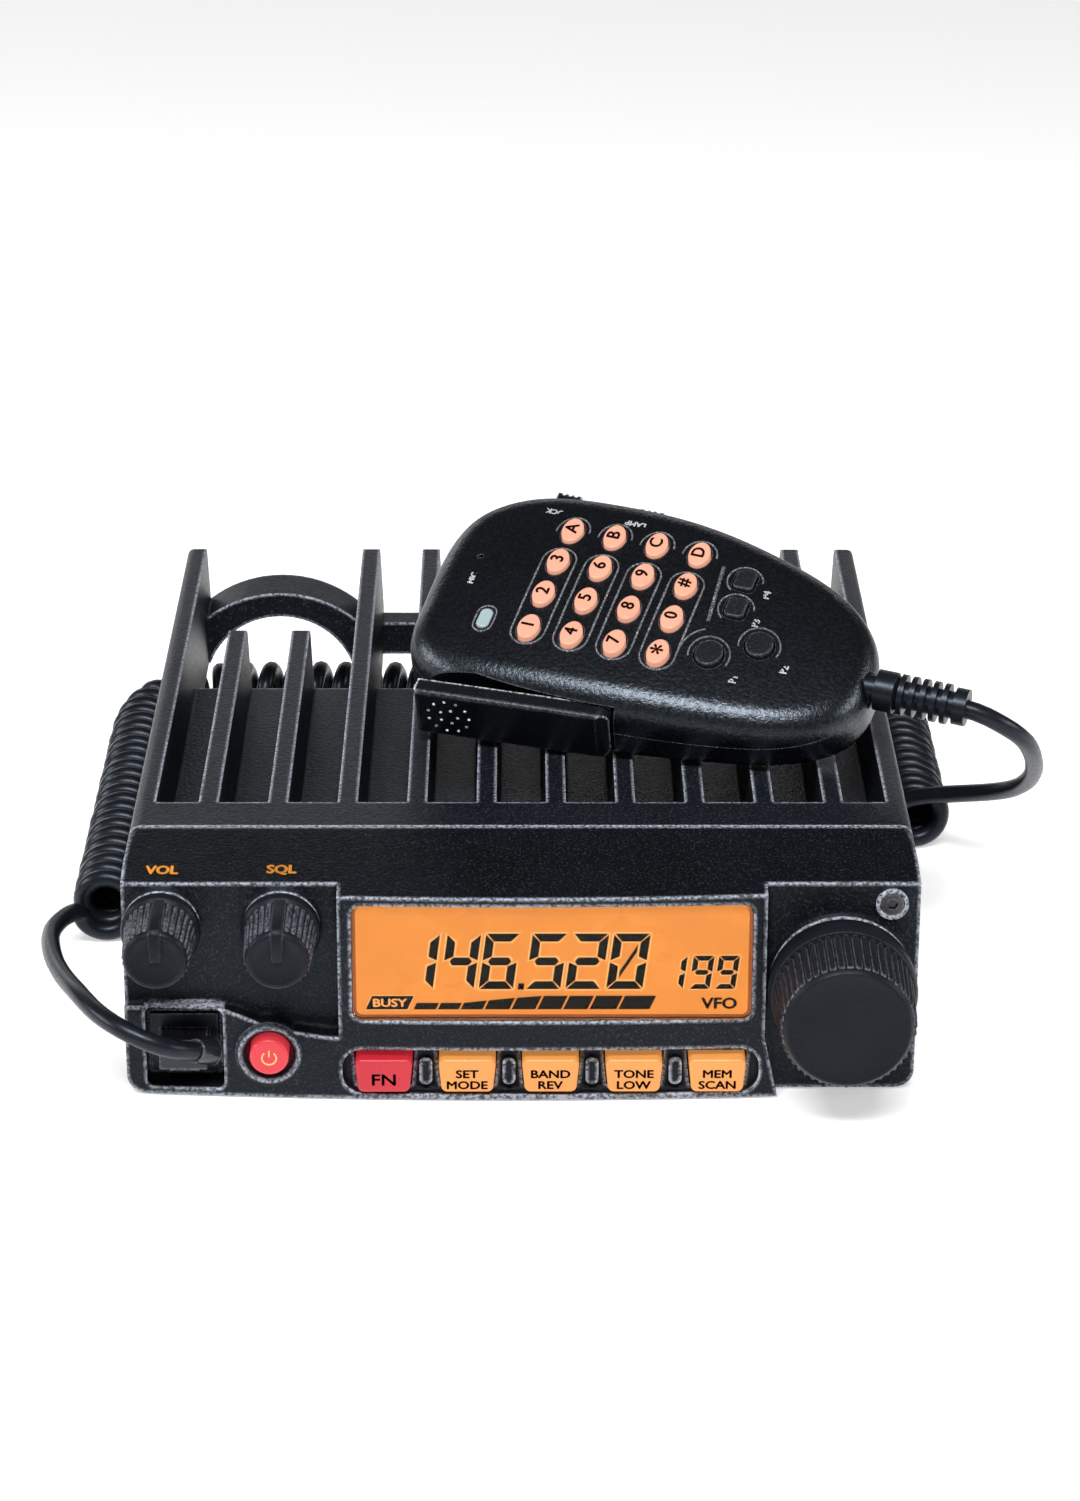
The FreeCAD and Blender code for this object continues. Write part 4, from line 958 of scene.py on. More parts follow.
@dataclass
class CurlyCord:
    """The curly cord from the set's plug round the back to the hand microphone.

    Attributes:
        thickness: Diameter of the cord in millimetres.
        turn_radius: Radius of its turns, to the middle of the cord.
        side_pitch: Turn spacing beside the set.
        rear_pitch: Turn spacing behind the set.
        radio_lead: Route from the plug to the coil.
        coil_route: Middle of the coil.
        handset_lead: Route from the microphone to the coil.
        turn_steps: Points along each turn.
        lead_start: Where the cord leaves the strain relief, in the microphone's own millimetres.
    """

    thickness: float = 4.0
    turn_radius: float = 6.0
    side_pitch: float = 4.75
    rear_pitch: float = 6.1
    radio_lead: tuple[Point, ...] = (
        (-65.6, -3.6, 11.2), (-69.3, -8.2, 13.6), (-75.2, -9.4, 16.4), (-81.3, -7.0, 18.6),
        (-86.3, -0.8, 19.0),
        (-90.6, 8.6, 18.6), (-94.4, 19.6, 16.2), (-97.8, 31.6, 14.2), (-100.0, 43.4, 12.6),
        (-101.0, 54.0, 10.4), (-99.6, 62.0, 9.6), (-96.6, 70.0, 8.0))
    coil_route: tuple[Point, ...] = (
        (-90.6, 70.0, 8.0), (-90.6, 142.0, 8.0), (-90.6, 194.6, 8.0), (-38.0, 194.6, 8.0),
        (39.0, 194.6, 8.0), (91.0, 194.6, 8.0), (91.0, 144.0, 8.0), (91.0, 118.0, 8.0))
    handset_lead: tuple[Point, ...] = (
        (94.7, 51.6, 63.1), (101.0, 51.6, 59.8), (106.3, 54.6, 55.2), (109.4, 62.0, 48.6),
        (111.6, 73.5, 39.9),
        (112.0, 85.0, 32.3), (110.4, 96.0, 25.4), (106.0, 105.4, 20.4), (99.6, 112.8, 16.8),
        (91.0, 118.0, 14.0))
    turn_steps: int = 13
    lead_start: Point = (72.9, -3.6, -10.4)

    def helix(self) -> list[Vector]:
        """Work out the turns' points round the coil's smooth middle line."""
        line = points_on(smooth_line("Coil middle", [at(*place) for place in self.coil_route], steps=40))
        phase = [0.0]
        for before, here in zip(line, line[1:]):
            along = (here - before).normalized()
            pitch = self.side_pitch + (self.rear_pitch - self.side_pitch) * abs(along.x)
            phase.append(phase[-1] + (here - before).length / (pitch * MM))
        turns = math.floor(phase[-1]) + 0.75
        stretch = turns / phase[-1]
        places: list[Vector] = []
        span = 0
        for step in range(1, int(turns * self.turn_steps)):
            wanted = step / self.turn_steps
            while span < len(line) - 2 and phase[span + 1] * stretch < wanted:
                span += 1
            share = (wanted / stretch - phase[span]) / (phase[span + 1] - phase[span])
            centre = line[span].lerp(line[span + 1], share)
            along = (line[span + 1] - line[span]).normalized()
            left = UP.cross(along).normalized()
            angle = 2 * math.pi * wanted
            uneven = 0.012 * math.sin(3.7 * wanted) + 0.008 * math.sin(11.3 * wanted)
            radius = self.turn_radius * MM * (1.0 + uneven)
            places.append(centre + left * (radius * math.cos(angle)) - UP * (radius * math.sin(angle)))
        floor = self.thickness * MM / 2
        for place in places:
            place.z = max(place.z, floor)
        LOG.info("curly cord has %.1f turns", turns)
        return places

    def build(self, shop: Workshop) -> None:
        home = [HandsetFrame().place(*self.lead_start)] + [at(*place) for place in self.handset_lead]
        route = [at(*place) for place in self.radio_lead] + self.helix() + home[::-1]
        line = points_on(smooth_line("Cord line", route, steps=3))
        cord = smooth_line("microphone_cord", route, self.thickness * MM, 3)
        ends = [shop.copy_of(node, sharp=40.0) for node in ("cord_plug", "strain_relief")]
        shop.keep(cord, "Cord jacket", ROOT_BODY, ("cord_lead_radio", "cord_coil", "cord_lead_handset"))


# ---------------------------------------------------------------- the set
SMALL_KNOBS = {"volume_knob": -72.1, "squelch_knob": -48.1}  # middles across, in millimetres
SMALL_KNOB_Z = 37.4
DIAL_X, DIAL_Z = 64.6, 24.8
POWER_X = -50.9


@dataclass
class CoolingCase:
    """The finned case with its cover, screws and rear sockets.

    Attributes:
        antenna_x: Middle of the antenna socket across, in millimetres.
        antenna_z: Its height.
        thread_pitch: Pitch of its thread.
        threads: How many crests the thread has.
    """

    antenna_x: float = -57.4
    antenna_z: float = 19.0
    thread_pitch: float = 1.06
    threads: int = 11

    PLAIN_NODES = ("heatsink_chassis", "bottom_cover", "case_screws", "flange_screws", "power_inlet",
                   "panel_screw")
    INNER_NODES = ("main_board", "power_module", "loudspeaker", "display_board", "panel_controls")
    CREST = ((0.0, 0.0), (7.45, 0.0), (7.9, 0.4), (7.9, 0.55), (7.45, 0.95), (0.0, 0.95))

    def build(self, shop: Workshop, repeater: Repeater) -> None:
        """Make and finish every piece of the case."""
        for node in self.PLAIN_NODES:
            shop.copy_of(node)
        shop.copy_of("antenna_socket", sharp=40.0)
        self.thread(shop, repeater)
        for node in self.INNER_NODES:
            shop.copy_of(node)

    def thread(self, shop: Workshop, repeater: Repeater) -> None:
        """Cut the look of a thread on the antenna socket's barrel: one crest per pitch."""
        crest = turned("thread crest", [(radius * MM, height * MM) for radius, height in self.CREST], 48)
        pitch = self.thread_pitch * MM
        rows = repeater.repeat("antenna_thread", crest, repeater.row, self.threads, pitch, "Nickel plate")
        _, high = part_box("antenna_socket")
        middle = at(self.antenna_x, 0.0, self.antenna_z)
        start = Matrix.Translation((middle.x, high[1] - 0.0002 - self.threads * pitch, middle.z))
        rows.transform(start @ Matrix.Rotation(math.radians(-90.0), 4, "X"))
        self.swell(rows, middle)
        shop.keep(new_piece("antenna_thread", rows), "Nickel plate")

    @staticmethod
    def swell(rows: bpy.types.Mesh, middle: Vector) -> None:
        """Swell the crests a little so that they stand on the barrel."""
        for vertex in rows.vertices:
            across = Vector((vertex.co.x - middle.x, 0.0, vertex.co.z - middle.z))
            if across.length > 0.004:
                vertex.co += across.normalized() * 0.00012


@dataclass
class FrontPanel:
    """The moulded front panel with its printed labels and jack details.

    Attributes:
        label_height: Height of the printed capitals in metres.
        label_y: Where the labels' middle lies behind the datum, in millimetres.
        hood_top: Height of the hood's back edge.
        hood_back: How far behind the datum that edge lies.
        hood_fall: How much the hood falls for each millimetre forward.
    """

    label_height: float = 0.0029
    label_y: float = 5.6
    hood_top: float = 50.0
    hood_back: float = 20.9
    hood_fall: float = 0.18

    def build(self, shop: Workshop) -> None:
        """Make the panel, its labels and the microphone socket."""
        for node in ("front_panel", "mic_socket"):
            shop.copy_of(node)
        for words, x in zip(("VOL", "SQL"), SMALL_KNOBS.values()):
            self.hood_label(shop, words, x)
        self.funnel_ring(shop)

    def hood_label(self, shop: Workshop, words: str, x: float) -> None:
        """Print one word on the sloped hood, its middle at a distance across in millimetres."""
        height = self.hood_top - (self.hood_back - self.label_y) * self.hood_fall + 0.03
        mesh = lettering("label", words, self.label_height, 0.00006, 0.00026, 0.84)
        slope = Matrix.Rotation(math.atan(self.hood_fall), 4, "X")
        mesh.transform(Matrix.Translation(at(x, self.label_y, height)) @ slope)
        shop.keep(new_piece("label_" + words.lower(), mesh), "Orange print")

    @staticmethod
    def funnel_ring(shop: Workshop) -> None:
        """Set the thin raised ring round the power button's funnel."""
        corners, radius = 64, 6.0
        angles = [2 * math.pi * k / corners for k in range(corners)]
        line = [at(POWER_X + radius * math.cos(a), -3.95, 10.4 + radius * math.sin(a)) for a in angles]
        ring = bead("funnel_ring", line, [FRONT] * corners, 0.00028, True)
        shop.keep(new_piece("funnel_ring", ring), "Panel moulding")


@dataclass
class Display:
    """The lit display: glass, border, digits, meter and words.

    Attributes:
        window: Left, right, bottom and top of the display in millimetres.
        face_y: Front of the display glass behind the datum.
        lean: Sideways lean of the digits over their height.
    """

    window: tuple[float, float, float, float] = (-33.9, 46.3, 18.3, 43.5)
    face_y: float = -2.4
    lean: float = 0.13

    SEGMENTS = {"0": "abcdefz", "1": "bc", "2": "abged", "4": "fgbc", "5": "afgcd", "6": "afgedc",
                "9": "abcdfg"}

    def build(self, shop: Workshop) -> None:
        """Make every part of the display."""
        shop.copy_of("display_window", edge=0.0003)
        shop.copy_of("lcd_panel")
        self.border(shop)
        ink: list[bpy.types.Mesh] = []
        halo: list[bpy.types.Mesh] = []
        for digit, left, right in (("1", -21.6, -17.0), ("4", -15.5, -8.8), ("6", -7.8, -0.9),
                                   ("5", 1.5, 8.6), ("2", 9.6, 16.8), ("0", 17.8, 25.1)):
            self.digit(digit, left, right, 24.7, 37.0, 1.75, ink, halo)
        ink.append(self.bar([(-0.75, 24.6), (0.45, 24.6), (0.6, 26.0), (-0.6, 26.0)], 0.0))
        for digit, left, right in (("1", 30.4, 32.9), ("9", 34.1, 38.3), ("9", 39.2, 43.4)):
            self.digit(digit, left, right, 24.7, 32.1, 1.1, ink, halo)
        self.meter(ink, halo)
        vfo = lettering("word", "VFO", 0.0025, 0.00003, 0.0003, 1.1)
        ink.append(moved(vfo, facing_front(39.8, self.face_y - 0.05, 21.5)))
        shop.keep(new_piece("display_segments", joined("display_segments", ink)), "Segment black")
        shop.keep(new_piece("display_halos", joined("display_halos", halo)), "Segment halo")

    def bar(self, outline: Sequence[Flat], depth: float) -> bpy.types.Mesh:
        """Make one flat bar from its outline in millimetres, at a depth behind the others' front."""
        front = self.face_y - 0.06 + depth
        flat = prism("bar", [(x * MM, -z * MM) for x, z in outline], 0.0, 0.00003)
        return moved(flat, Matrix.Translation(at(0.0, front, 0.0)) @ Matrix.Rotation(math.radians(-90.0), 4,
                                                                                     "X"))

    @staticmethod
    def grown(outline: Sequence[Flat], by: float) -> list[Flat]:
        """Push an outline outward from its middle.

        Args:
            outline: Corners in millimetres.
            by: How far, in millimetres.

        Returns:
            The larger outline.
        """
        middle_x = sum(x for x, _ in outline) / len(outline)
        middle_z = sum(z for _, z in outline) / len(outline)
        return [(x + math.copysign(by, x - middle_x), z + math.copysign(by, z - middle_z)) for x,
                z in outline]

    def digit(self, sign: str, left: float, right: float, low: float, high: float, stroke: float,
              ink: list[bpy.types.Mesh], halo: list[bpy.types.Mesh]) -> None:
        """Add one seven-segment digit.

        Args:
            sign: The digit.
            left: Its left edge in millimetres.
            right: Its right edge.
            low: Its foot.
            high: Its head.
            stroke: Stroke width.
            ink: Dark bars to add to.
            halo: Pale outlines to add to.
        """
        middle = (low + high) / 2
        gap = 0.12 * stroke
        half = stroke / 2
        shapes = {
            "a": [(left + gap, high), (right - gap, high), (right - stroke, high - stroke),
                  (left + stroke, high - stroke)],
            "d": [(left + stroke, low + stroke), (right - stroke, low + stroke), (right - gap, low),
                  (left + gap, low)],
            "g": [(left + half + gap, middle), (left + stroke, middle + half),
                  (right - stroke, middle + half), (right - half - gap, middle),
                  (right - stroke, middle - half), (left + stroke, middle - half)],
            "f": [(left, high - gap), (left + stroke, high - stroke - gap),
                  (left + stroke, middle + half + gap), (left, middle + gap)],
            "e": [(left, middle - gap), (left + stroke, middle - half - gap),
                  (left + stroke, low + stroke + gap), (left, low + gap)],
            "b": [(right, high - gap), (right, middle + gap), (right - stroke, middle + half + gap),
                  (right - stroke, high - stroke - gap)],
            "c": [(right, middle - gap), (right, low + gap), (right - stroke, low + stroke + gap),
                  (right - stroke, middle - half - gap)],
            "z": [(right - 1.25 * stroke, high - 1.35 * stroke),
                  (right - 1.25 * stroke, high - 2.3 * stroke),
                  (left + 1.25 * stroke, low + 1.35 * stroke), (left + 1.25 * stroke, low + 2.3 * stroke)],
        }
        for part in self.SEGMENTS[sign]:
            leaned = [(x + self.lean * (z - middle), z) for x, z in shapes[part]]
            ink.append(self.bar(leaned, 0.0))
            halo.append(self.bar(self.grown(leaned, 0.2 * stroke), 0.045))

    def meter(self, ink: list[bpy.types.Mesh], halo: list[bpy.types.Mesh]) -> None:
        """Add the flag with its word and the rising row of slanted blocks."""
        low, high, foot = 20.2, 23.2, 1.45
        flag = [(-31.3, low), (-22.9, low), (-21.6, high), (-30.0, high)]
        ink.append(self.bar(flag, 0.02))
        halo.append(self.bar(self.grown(flag, 0.15), 0.045))
        word = lettering("word", "BUSY", 0.0018, 0.00003, 0.00018, 1.2)
        halo.append(moved(word, facing_front(-26.4, self.face_y - 0.09, 21.7)))
        edges = (-21.9, -17.0, -12.4, -7.6, -2.2, 3.0, 8.2, 13.5, 19.3, 26.0)
        for left, right in zip(edges, edges[1:]):
            tall = [foot + (high - low - foot) * min(1.0, max(0.0, (x + 12.4) / 14.0)) for x in (left,
                                                                                                 right)]
            lean = [0.45 * height for height in tall]
            block = [(left + 0.2, low), (right - 0.2, low), (right - 0.2 + lean[1], low + tall[1]),
                     (left + 0.2 + lean[0], low + tall[0])]
            ink.append(self.bar(block, 0.0))

    def border(self, shop: Workshop) -> None:
        """Set the thin dark red frame just inside the window."""
        left, right, foot, head = self.window
        outer, inner = (self.round_outline(left + inset, right - inset, foot + inset, head - inset, radius)
                        for inset, radius in ((0.15, 1.7), (0.75, 1.3)))
        count = len(outer)
        places = [at(x, self.face_y - 0.03, z) for x, z in outer + inner]
        back = [at(x, self.face_y + 0.02, z) for x, z in outer + inner]
        faces: list[tuple[int, ...]] = []
        for low, high in ((0, 1), (3, 2), (2, 0), (1, 3)):
            faces += band(low * count, high * count, count)
        border = mesh_from("display_border", places + back, faces)
        shop.keep(new_piece("display_border", border), "Display border")

    @staticmethod
    def round_outline(left: float, right: float, low: float, high: float, radius: float) -> list[Flat]:
        """Give the outline of a rounded rectangle in millimetres."""
        out = []
        for middle_x, middle_z, first in ((right - radius, high - radius, 0),
                                          (left + radius, high - radius, 90),
                                          (left + radius, low + radius, 180),
                                          (right - radius, low + radius, 270)):
            for step in range(7):
                angle = math.radians(first + 15 * step)
                out.append((middle_x + radius * math.cos(angle), middle_z + radius * math.sin(angle)))
        return out


@dataclass
class FrontControls:
    """Function keys, power button, knobs and tuning dial.

    Attributes:
        key_middle: Middle of the first function key in millimetres.
        key_pitch: Spacing of the keys.
        legends: Two lines for every key.
    """

    key_middle: float = -27.8
    key_pitch: float = 16.87
    legends: tuple[tuple[str, str], ...] = (
        ("", "FN"), ("SET", "MODE"), ("BAND", "REV"), ("TONE", "LOW"), ("MEM", "SCAN"))

    SMALL_CORE = (
        (0.0, -12.3), (3.0, -12.3), (3.0, 0.8), (7.6, 0.8), (7.95, 1.2), (8.0, 2.6), (7.7, 3.3), (7.2, 3.6),
        (7.0, 3.8), (6.75, 8.0), (6.55, 13.6), (6.45, 14.8), (6.2, 15.6), (5.75, 16.05), (5.2, 16.2),
        (4.9, 16.1), (4.3, 15.75), (2.5, 15.6), (0.0, 15.6))
    DIAL_CORE = (
        (0.0, -12.3), (3.0, -12.3), (3.0, 0.9), (14.4, 0.9), (14.9, 1.6), (15.0, 2.8), (15.0, 6.0),
        (14.5, 6.8), (13.6, 7.1), (13.35, 12.0), (13.25, 19.2), (13.0, 20.1), (12.75, 20.5), (12.45, 20.85),
        (12.3, 21.0), (12.0, 21.1), (11.6, 21.0), (11.2, 20.9), (6.0, 20.75), (0.0, 20.75))

    def build(self, shop: Workshop, repeater: Repeater) -> None:
        """Make and finish every control."""
        for index, lines in enumerate(self.legends):
            self.key(shop, index, lines)
        self.power(shop)
        for name in SMALL_KNOBS:
            self.small_knob(shop, repeater, name)
        self.dial(shop, repeater)

    def key(self, shop: Workshop, index: int, lines: tuple[str, str]) -> None:
        """Finish one function key and print its legend."""
        node = f"function_key_{index + 1}"
        shop.copy_of(node, "Red key" if index == 0 else "Amber key", sharp=40.0)
        x = self.key_middle + self.key_pitch * index
        words: list[bpy.types.Mesh] = []
        for text, height in zip(lines, (6.75, 4.25)):
            if text:
                flat = lettering("legend", text, 0.0026 if index == 0 else 0.0018, 0.00004, 0.0002, 1.2)
                words.append(moved(flat, facing_front(x, -5.22, height)))
        if index == 0:
            words[0].transform(Matrix.Translation((0.0, 0.0, 0.0012)))
        shop.keep(new_piece(node + "_legend", joined(node + "_legend", words)), "Legend ink", node)

    @staticmethod
    def power(shop: Workshop) -> None:
        """Finish the power button and mould its line-and-arc sign."""
        shop.copy_of("power_button", "Power key", sharp=40.0)
        arc = [math.radians(130 + 280 * k / 32) for k in range(33)]
        line = [at(POWER_X + 1.45 * math.cos(a), -5.02, 10.3 + 1.45 * math.sin(a)) for a in arc]
        bar = [at(POWER_X, -5.02, 10.6 + 0.35 * k) for k in range(5)]
        sign = [bead("sign", stroke, [FRONT] * len(stroke), 0.00017, False) for stroke in (line, bar)]
        shop.keep(new_piece("power_sign", joined("power_sign", sign)), "Segment halo", "power_button")

    def small_knob(self, shop: Workshop, repeater: Repeater, name: str) -> None:
        """Make one small knob: turned core, skirt, ribs, pointer ridge and spindle.

        Args:
            shop: The workshop.
            repeater: The repeating trees.
            name: CAD node and body of the knob.
        """
        body = self.core(self.SMALL_CORE, 96)
        rib = self.rib(6.62, 7.2, 3.7, 14.9, 0.36)
        ribs = repeater.repeat("ribs", rib, repeater.ring, 30, 2 * math.pi / 30, "Knob moulding")
        whole = joined(name + "_finished", [body, ribs, self.ridge()])
        whole.transform(facing_front(SMALL_KNOBS[name], 0.0, SMALL_KNOB_Z))
        shade(whole, 38.0)
        shop.keep(new_piece(name + "_finished", whole), "Knob moulding", name, (name,))

    @staticmethod
    def core(profile: Sequence[Flat], around: int) -> bpy.types.Mesh:
        """Turn a knob's core with its spindle from radii and heights in millimetres."""
        return turned("core", [(radius * MM, height * MM) for radius, height in profile], around)

    @staticmethod
    def rib(inner: float, outer: float, low: float, high: float, half: float) -> bpy.types.Mesh:
        """Make one grip rib that leans in towards the knob's face, in the ring's place.

        Args:
            inner: Radius where it starts, in millimetres.
            outer: Radius of its crest at the foot.
            low: Height of its foot.
            high: Height of its head.
            half: Half of its width.

        Returns:
            The rib's mesh.
        """
        rings = []
        slim = 0.045 * (high - low)
        for height, crest in ((low, outer), (high - 0.5, outer - slim), (high, outer - slim - 0.35)):
            rings.append([(inner - 0.9, -half * 1.25, height), (crest - 0.25, -half, height),
                          (crest, -0.45 * half, height), (crest, 0.45 * half, height),
                          (crest - 0.25, half, height), (inner - 0.9, half * 1.25, height)])
        points = [(a * MM, b * MM, c * MM) for ring in rings for a, b, c in ring]
        count = 6
        faces: list[tuple[int, ...]] = [tuple(range(count)), tuple(range(2 * count, 3 * count))]
        for row in range(2):
            faces += band(row * count, (row + 1) * count, count)
        return mesh_from("rib", points, faces)

    @staticmethod
    def ridge() -> bpy.types.Mesh:
        """Make the pointer ridge of a small knob, up along its face and back over its grip."""
        side = [(0.0, 15.4), (0.0, 16.5), (1.0, 16.9), (5.6, 16.9), (6.7, 16.3), (7.2, 15.2), (7.55, 9.5),
                (7.8, 3.7), (6.0, 3.7), (6.0, 15.0)]
        mesh = prism("ridge", [(y * MM, z * MM) for y, z in side], -0.00115, 0.00115)
        with editing(mesh) as work:
            rims = [edge for edge in work.edges if abs(edge.verts[0].co.z - edge.verts[1].co.z) < 1e-7]
            bmesh.ops.bevel(work, geom=rims, offset=0.0003, segments=2, profile=0.5, affect="EDGES")
        return moved(mesh, Matrix(((0, 0, 1, 0), (1, 0, 0, 0), (0, 1, 0, 0), (0, 0, 0, 1))))

    def dial(self, shop: Workshop, repeater: Repeater) -> None:
        """Make the tuning dial: turned core, coarse teeth and spindle."""
        body = self.core(self.DIAL_CORE, 144)
        rib = self.rib(13.1, 14.25, 7.2, 19.9, 0.5)
        ribs = repeater.repeat("ribs", rib, repeater.ring, 48, 2 * math.pi / 48, "Knob moulding")
        whole = joined("main_dial_finished", [body, ribs])
        whole.transform(facing_front(DIAL_X, 0.0, DIAL_Z))
        shade(whole, 38.0)
        shop.keep(new_piece("main_dial_finished", whole), "Knob moulding", "main_dial", ("main_dial",))


# ---------------------------------------------------------------- the hand microphone
@dataclass
class HandMicrophone:
    """The hand microphone: shells, keypad, talk lever, rims and marks.

    Attributes:
        pitch_u: Key spacing along the microphone in millimetres.
        pitch_v: Key spacing across it.
        rim: Radius of the raised rims.
        frame_axes: Its placement.
    """

    pitch_u: float = 9.6
    pitch_v: float = 9.8
    rim: float = 0.24
    frame_axes: HandsetFrame = field(default_factory=HandsetFrame)

    ROWS = (("a", "b", "c", "d"), ("3", "6", "9", "hash"), ("2", "5", "8", "0"), ("1", "4", "7", "star"))
    SIGNS = {"hash": "#", "star": "*"}
    PROGRAM_ARCS = (  # place of each programmable key, its arc's radii in millimetres and angles in degrees
        (24.7, -11.6, 4.4, 4.9, -20, 200), (34.0, -5.7, 4.4, 4.9, -20, 200), (26.4, 2.4, 3.8, 4.2, 10, 235),
        (25.9, 10.7, 3.8, 4.2, 10, 235))
    MARKS = (  # words, place, height in metres and turn in degrees
        ("P1", 31.4, -16.2, 0.0017, 90.0), ("P2", 40.6, -9.8, 0.0017, 90.0),
             ("P3", 31.4, 0.0, 0.0017, 90.0),
        ("P4", 31.2, 8.6, 0.0017, 90.0), ("MIC", -31.5, -2.6, 0.0014, 90.0),
             ("LOCK", -20.0, 20.4, 0.0014, 180.0),
        ("LAMP", -2.0, 20.4, 0.0014, 180.0))
    LEVER_ENDS = ((-33.6, -35.4), (5.9, -32.0))
    GRIP_DOT = ((0.0, -0.2), (0.36, -0.2), (0.34, 0.12), (0.2, 0.26), (0.0, 0.3))

    def build(self, shop: Workshop, repeater: Repeater) -> None:
        """Make and finish every piece of the microphone."""
        shop.copy_of("handset_front_shell", sharp=30.0)
        shop.copy_of("handset_rear_shell", sharp=30.0)
        shop.copy_of("ptt_lever")
        for node in ("lock_switch", "lamp_switch"):
            shop.copy_of(node, edge=0.00015)
        for node in ("hanger_stud", "shell_screws", "mic_capsule", "handset_board", "indicator_lens"):
            shop.copy_of(node, sharp=40.0)
        self.keys(shop)
        self.rims(shop)
        self.marks(shop)
        self.grip(shop, repeater)

    def on_face(self, u: float, v: float, lift: float) -> Vector:
        """Give a place on the crowned face, raised by a few tenths of a millimetre."""
        return self.frame_axes.place(u, v, self.frame_axes.face_n(u, v) + lift)

    def print_place(self, u: float, v: float, n: float, turn: float = 90.0) -> Matrix:
        """Placement for lettering on the face, its top turned to the microphone's far end."""
        spin = Matrix.Rotation(math.radians(turn), 4, "Z")
        return self.frame_axes.matrix() @ Matrix.Translation((u * MM, v * MM, n * MM)) @ spin

    def key_place(self, row: int, column: int) -> tuple[float, float]:
        """Where a keypad key stands on the face."""
        return (column - 1.5) * self.pitch_u, (1.5 - row) * self.pitch_v

    def keys(self, shop: Workshop) -> None:
        """Finish the keypad's keys and print their signs."""
        for row, names in enumerate(self.ROWS):
            for column, name in enumerate(names):
                node = "key_" + name
                shop.copy_of(node, sharp=40.0)
                u, v = self.key_place(row, column)
                top = self.frame_axes.face_n(u, v) + 1.02
                size = 0.0046 if name == "star" else 0.0029
                sign = lettering(node, self.SIGNS.get(name, name.upper()), size, 0.00004, 0.00028)
                sign.transform(self.print_place(u - 0.3, v + 0.3, top))
                shop.keep(new_piece(node + "_sign", sign), "Legend ink", node)
        for index in range(4):
            shop.copy_of(f"program_key_{index + 1}", sharp=40.0)

    def rim_line(self, name: str, line: Sequence[Flat], closed: bool,
                 radius: Optional[float] = None) -> bpy.types.Mesh:
        """Lay one raised rim along places on the face.

        Args:
            name: The rim's name.
            line: Its places along and across the microphone.
            closed: Whether it closes on itself.
            radius: Its radius in millimetres, or the usual one.

        Returns:
            The rim's mesh.
        """
        places = [self.on_face(u, v, -0.02) for u, v in line]
        lift = [self.frame_axes.matrix().to_3x3() @ UP] * len(places)
        return bead(name, places, lift, (radius or self.rim) * MM, closed, 6)

    @staticmethod
    def arc(u: float, v: float, radius_u: float, radius_v: float, first: float, last: float,
            steps: int = 22) -> list[Flat]:
        """Give places along an oval arc, its angles in degrees from the cord end."""
        angles = [math.radians(first + (last - first) * k / steps) for k in range(steps + 1)]
        return [(u + radius_u * math.cos(a), v + radius_v * math.sin(a)) for a in angles]

    def stadium(self, u: float, low: float, high: float, radius: float) -> list[Flat]:
        """Give the outline of a long round-ended ring across the microphone."""
        far = self.arc(u, high, radius, radius, 0, 180, 15)
        near = self.arc(u, low, radius, radius, 180, 360, 15)
        left = [(u - radius, high + (low - high) * k / 12) for k in range(1, 12)]
        right = [(u + radius, low + (high - low) * k / 12) for k in range(1, 12)]
        return far + left + near + right

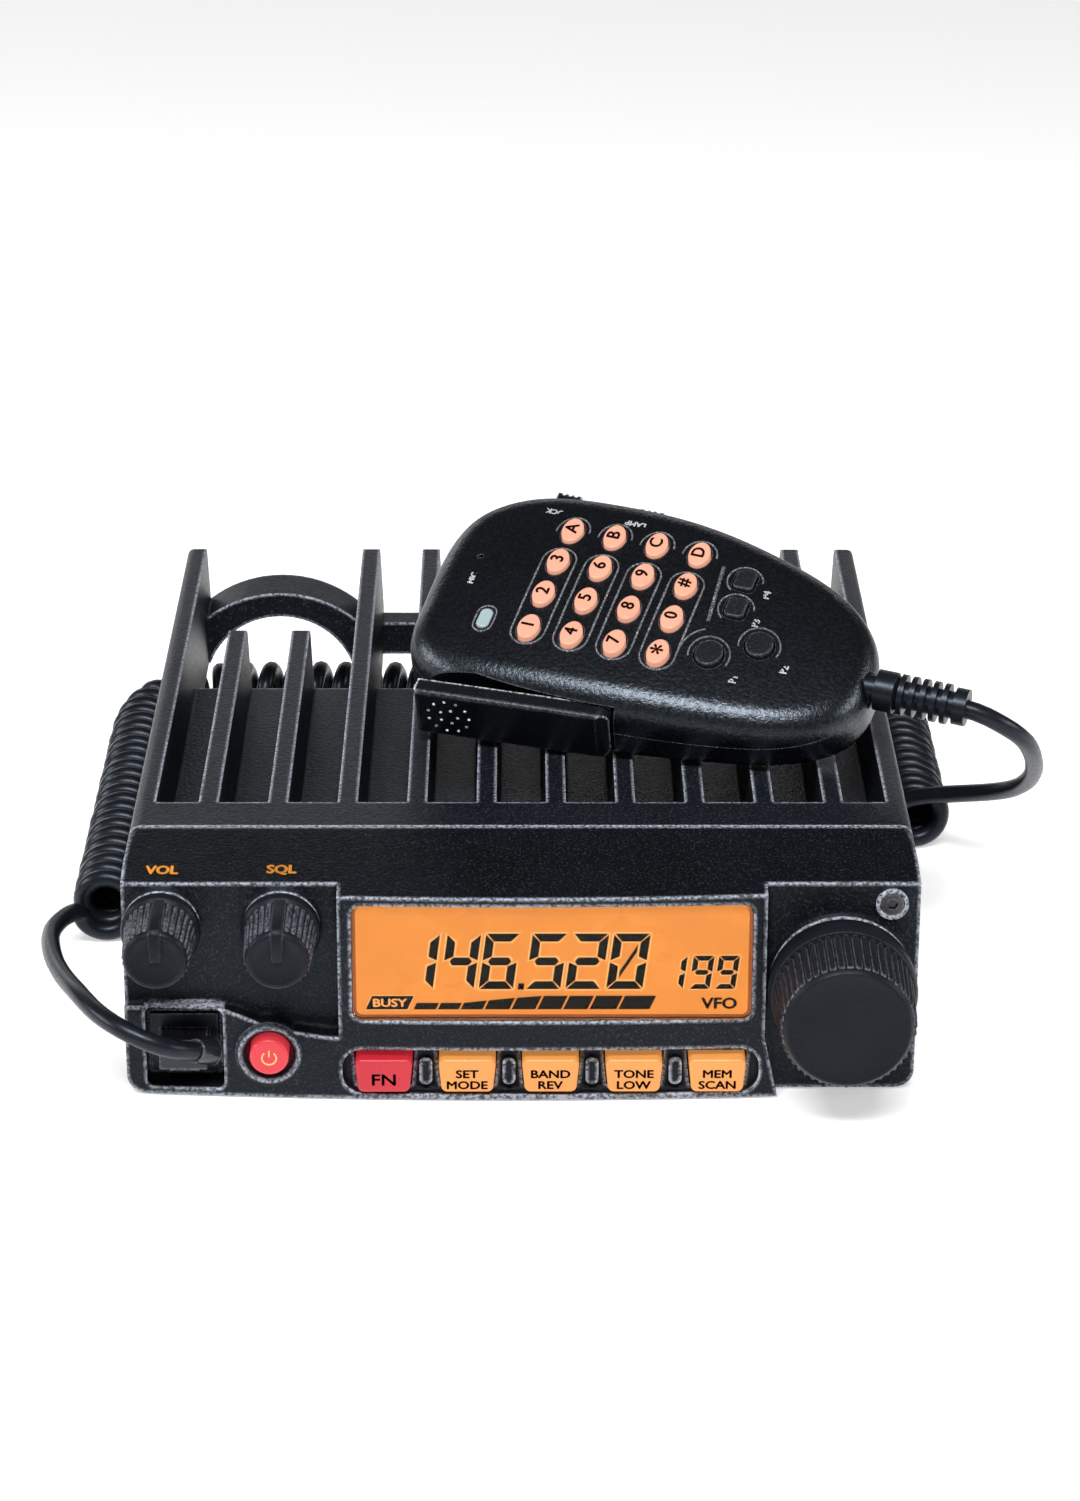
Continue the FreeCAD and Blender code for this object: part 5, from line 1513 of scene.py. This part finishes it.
    def rims(self, shop: Workshop) -> None:
        """Mould the rims round the key groups, single keys and the lens, and the ridge."""
        parts: list[bpy.types.Mesh] = []
        for column in range(4):
            u, high = self.key_place(1, column)
            _, low = self.key_place(3, column)
            parts.append(self.rim_line("rim", self.stadium(u, low - 0.5, high + 0.6, 3.75), True))
            _, top = self.key_place(0, column)
            parts.append(self.rim_line("rim", self.arc(u, top, 3.7, 4.7, 5, 185), False))
        for arc in self.PROGRAM_ARCS:
            parts.append(self.rim_line("rim", self.arc(*arc), False))
        ridge = [(20.3 + 0.09 * k, 13.2 - 0.95 * k) for k in range(18)]
        parts.append(self.rim_line("ridge", ridge, False, 0.42))
        parts.append(self.rim_line("rim", self.stadium(-24.8, -15.0, -12.2, 2.15), True, 0.22))
        parts.append(self.rim_line("guide", self.arc(24.7, -11.6, 6.3, 7.0, 115, 180), False, 0.2))
        whole = joined("handset_rims", parts)
        shade(whole, 60.0)
        # The rims take a lightened copy of the microphone plastic, which is a painted highlight.
        shop.keep(new_piece("handset_rims", whole), "Rim plastic, painted highlight")

    def marks(self, shop: Workshop) -> None:
        """Print the small white marks on the face."""
        marks = []
        for words, u, v, size, turn in self.MARKS:
            place = self.print_place(u, v, self.frame_axes.face_n(u, v) + 0.04, turn)
            marks.append(moved(lettering("mark", words, size, 0.00005, 0.0001), place))
        shop.keep(new_piece("handset_marks", joined("handset_marks", marks)), "White print")

    def grip(self, shop: Workshop, repeater: Repeater) -> None:
        """Raise the grip dots on the talk lever: an outer and an inner ring of small domes."""
        dot = turned("dot", [(radius * MM, height * MM) for radius, height in self.GRIP_DOT], 10)
        rings = []
        for name, radius, count in (("outer", 0.0045, 11), ("inner", 0.002, 5)):
            shape = moved(dot.copy(), Matrix.Translation((radius, 0.0, 0.0)))
            step = 2 * math.pi / count
            rings.append(repeater.repeat(name, shape, repeater.ring, count, step, "Lever moulding"))
        bpy.data.meshes.remove(dot)
        whole = joined("ptt_grip_dots", rings)
        centre_u, centre_n = -26.2, -11.4
        left, right = (Vector((u, v, 0.0)) for u, v in self.LEVER_ENDS)
        along = (right - left).normalized()
        out = Vector((along.y, -along.x, 0.0))
        spot = left.lerp(right, (centre_u - left.x) / (right.x - left.x)) * MM
        turn = Matrix((along, UP, out)).transposed().to_4x4()
        whole.transform(self.frame_axes.matrix() @ Matrix.Translation((spot.x, spot.y,
                                                                       centre_n * MM)) @ turn)
        face_outward(whole)
        shade(whole, 60.0)
        shop.keep(new_piece("ptt_grip_dots", whole), "Lever moulding", "ptt_lever")


def main() -> None:
    """Build the studio, the cord, the set and the microphone."""
    Studio().build()
    shop = Workshop(FinishShelf())
    CurlyCord().build(shop)
    repeater = Repeater(shop.shelf)
    CoolingCase().build(shop, repeater)
    FrontPanel().build(shop)
    Display().build(shop)
    FrontControls().build(shop, repeater)
    HandMicrophone().build(shop, repeater)


if __name__ == "__main__":
    main()
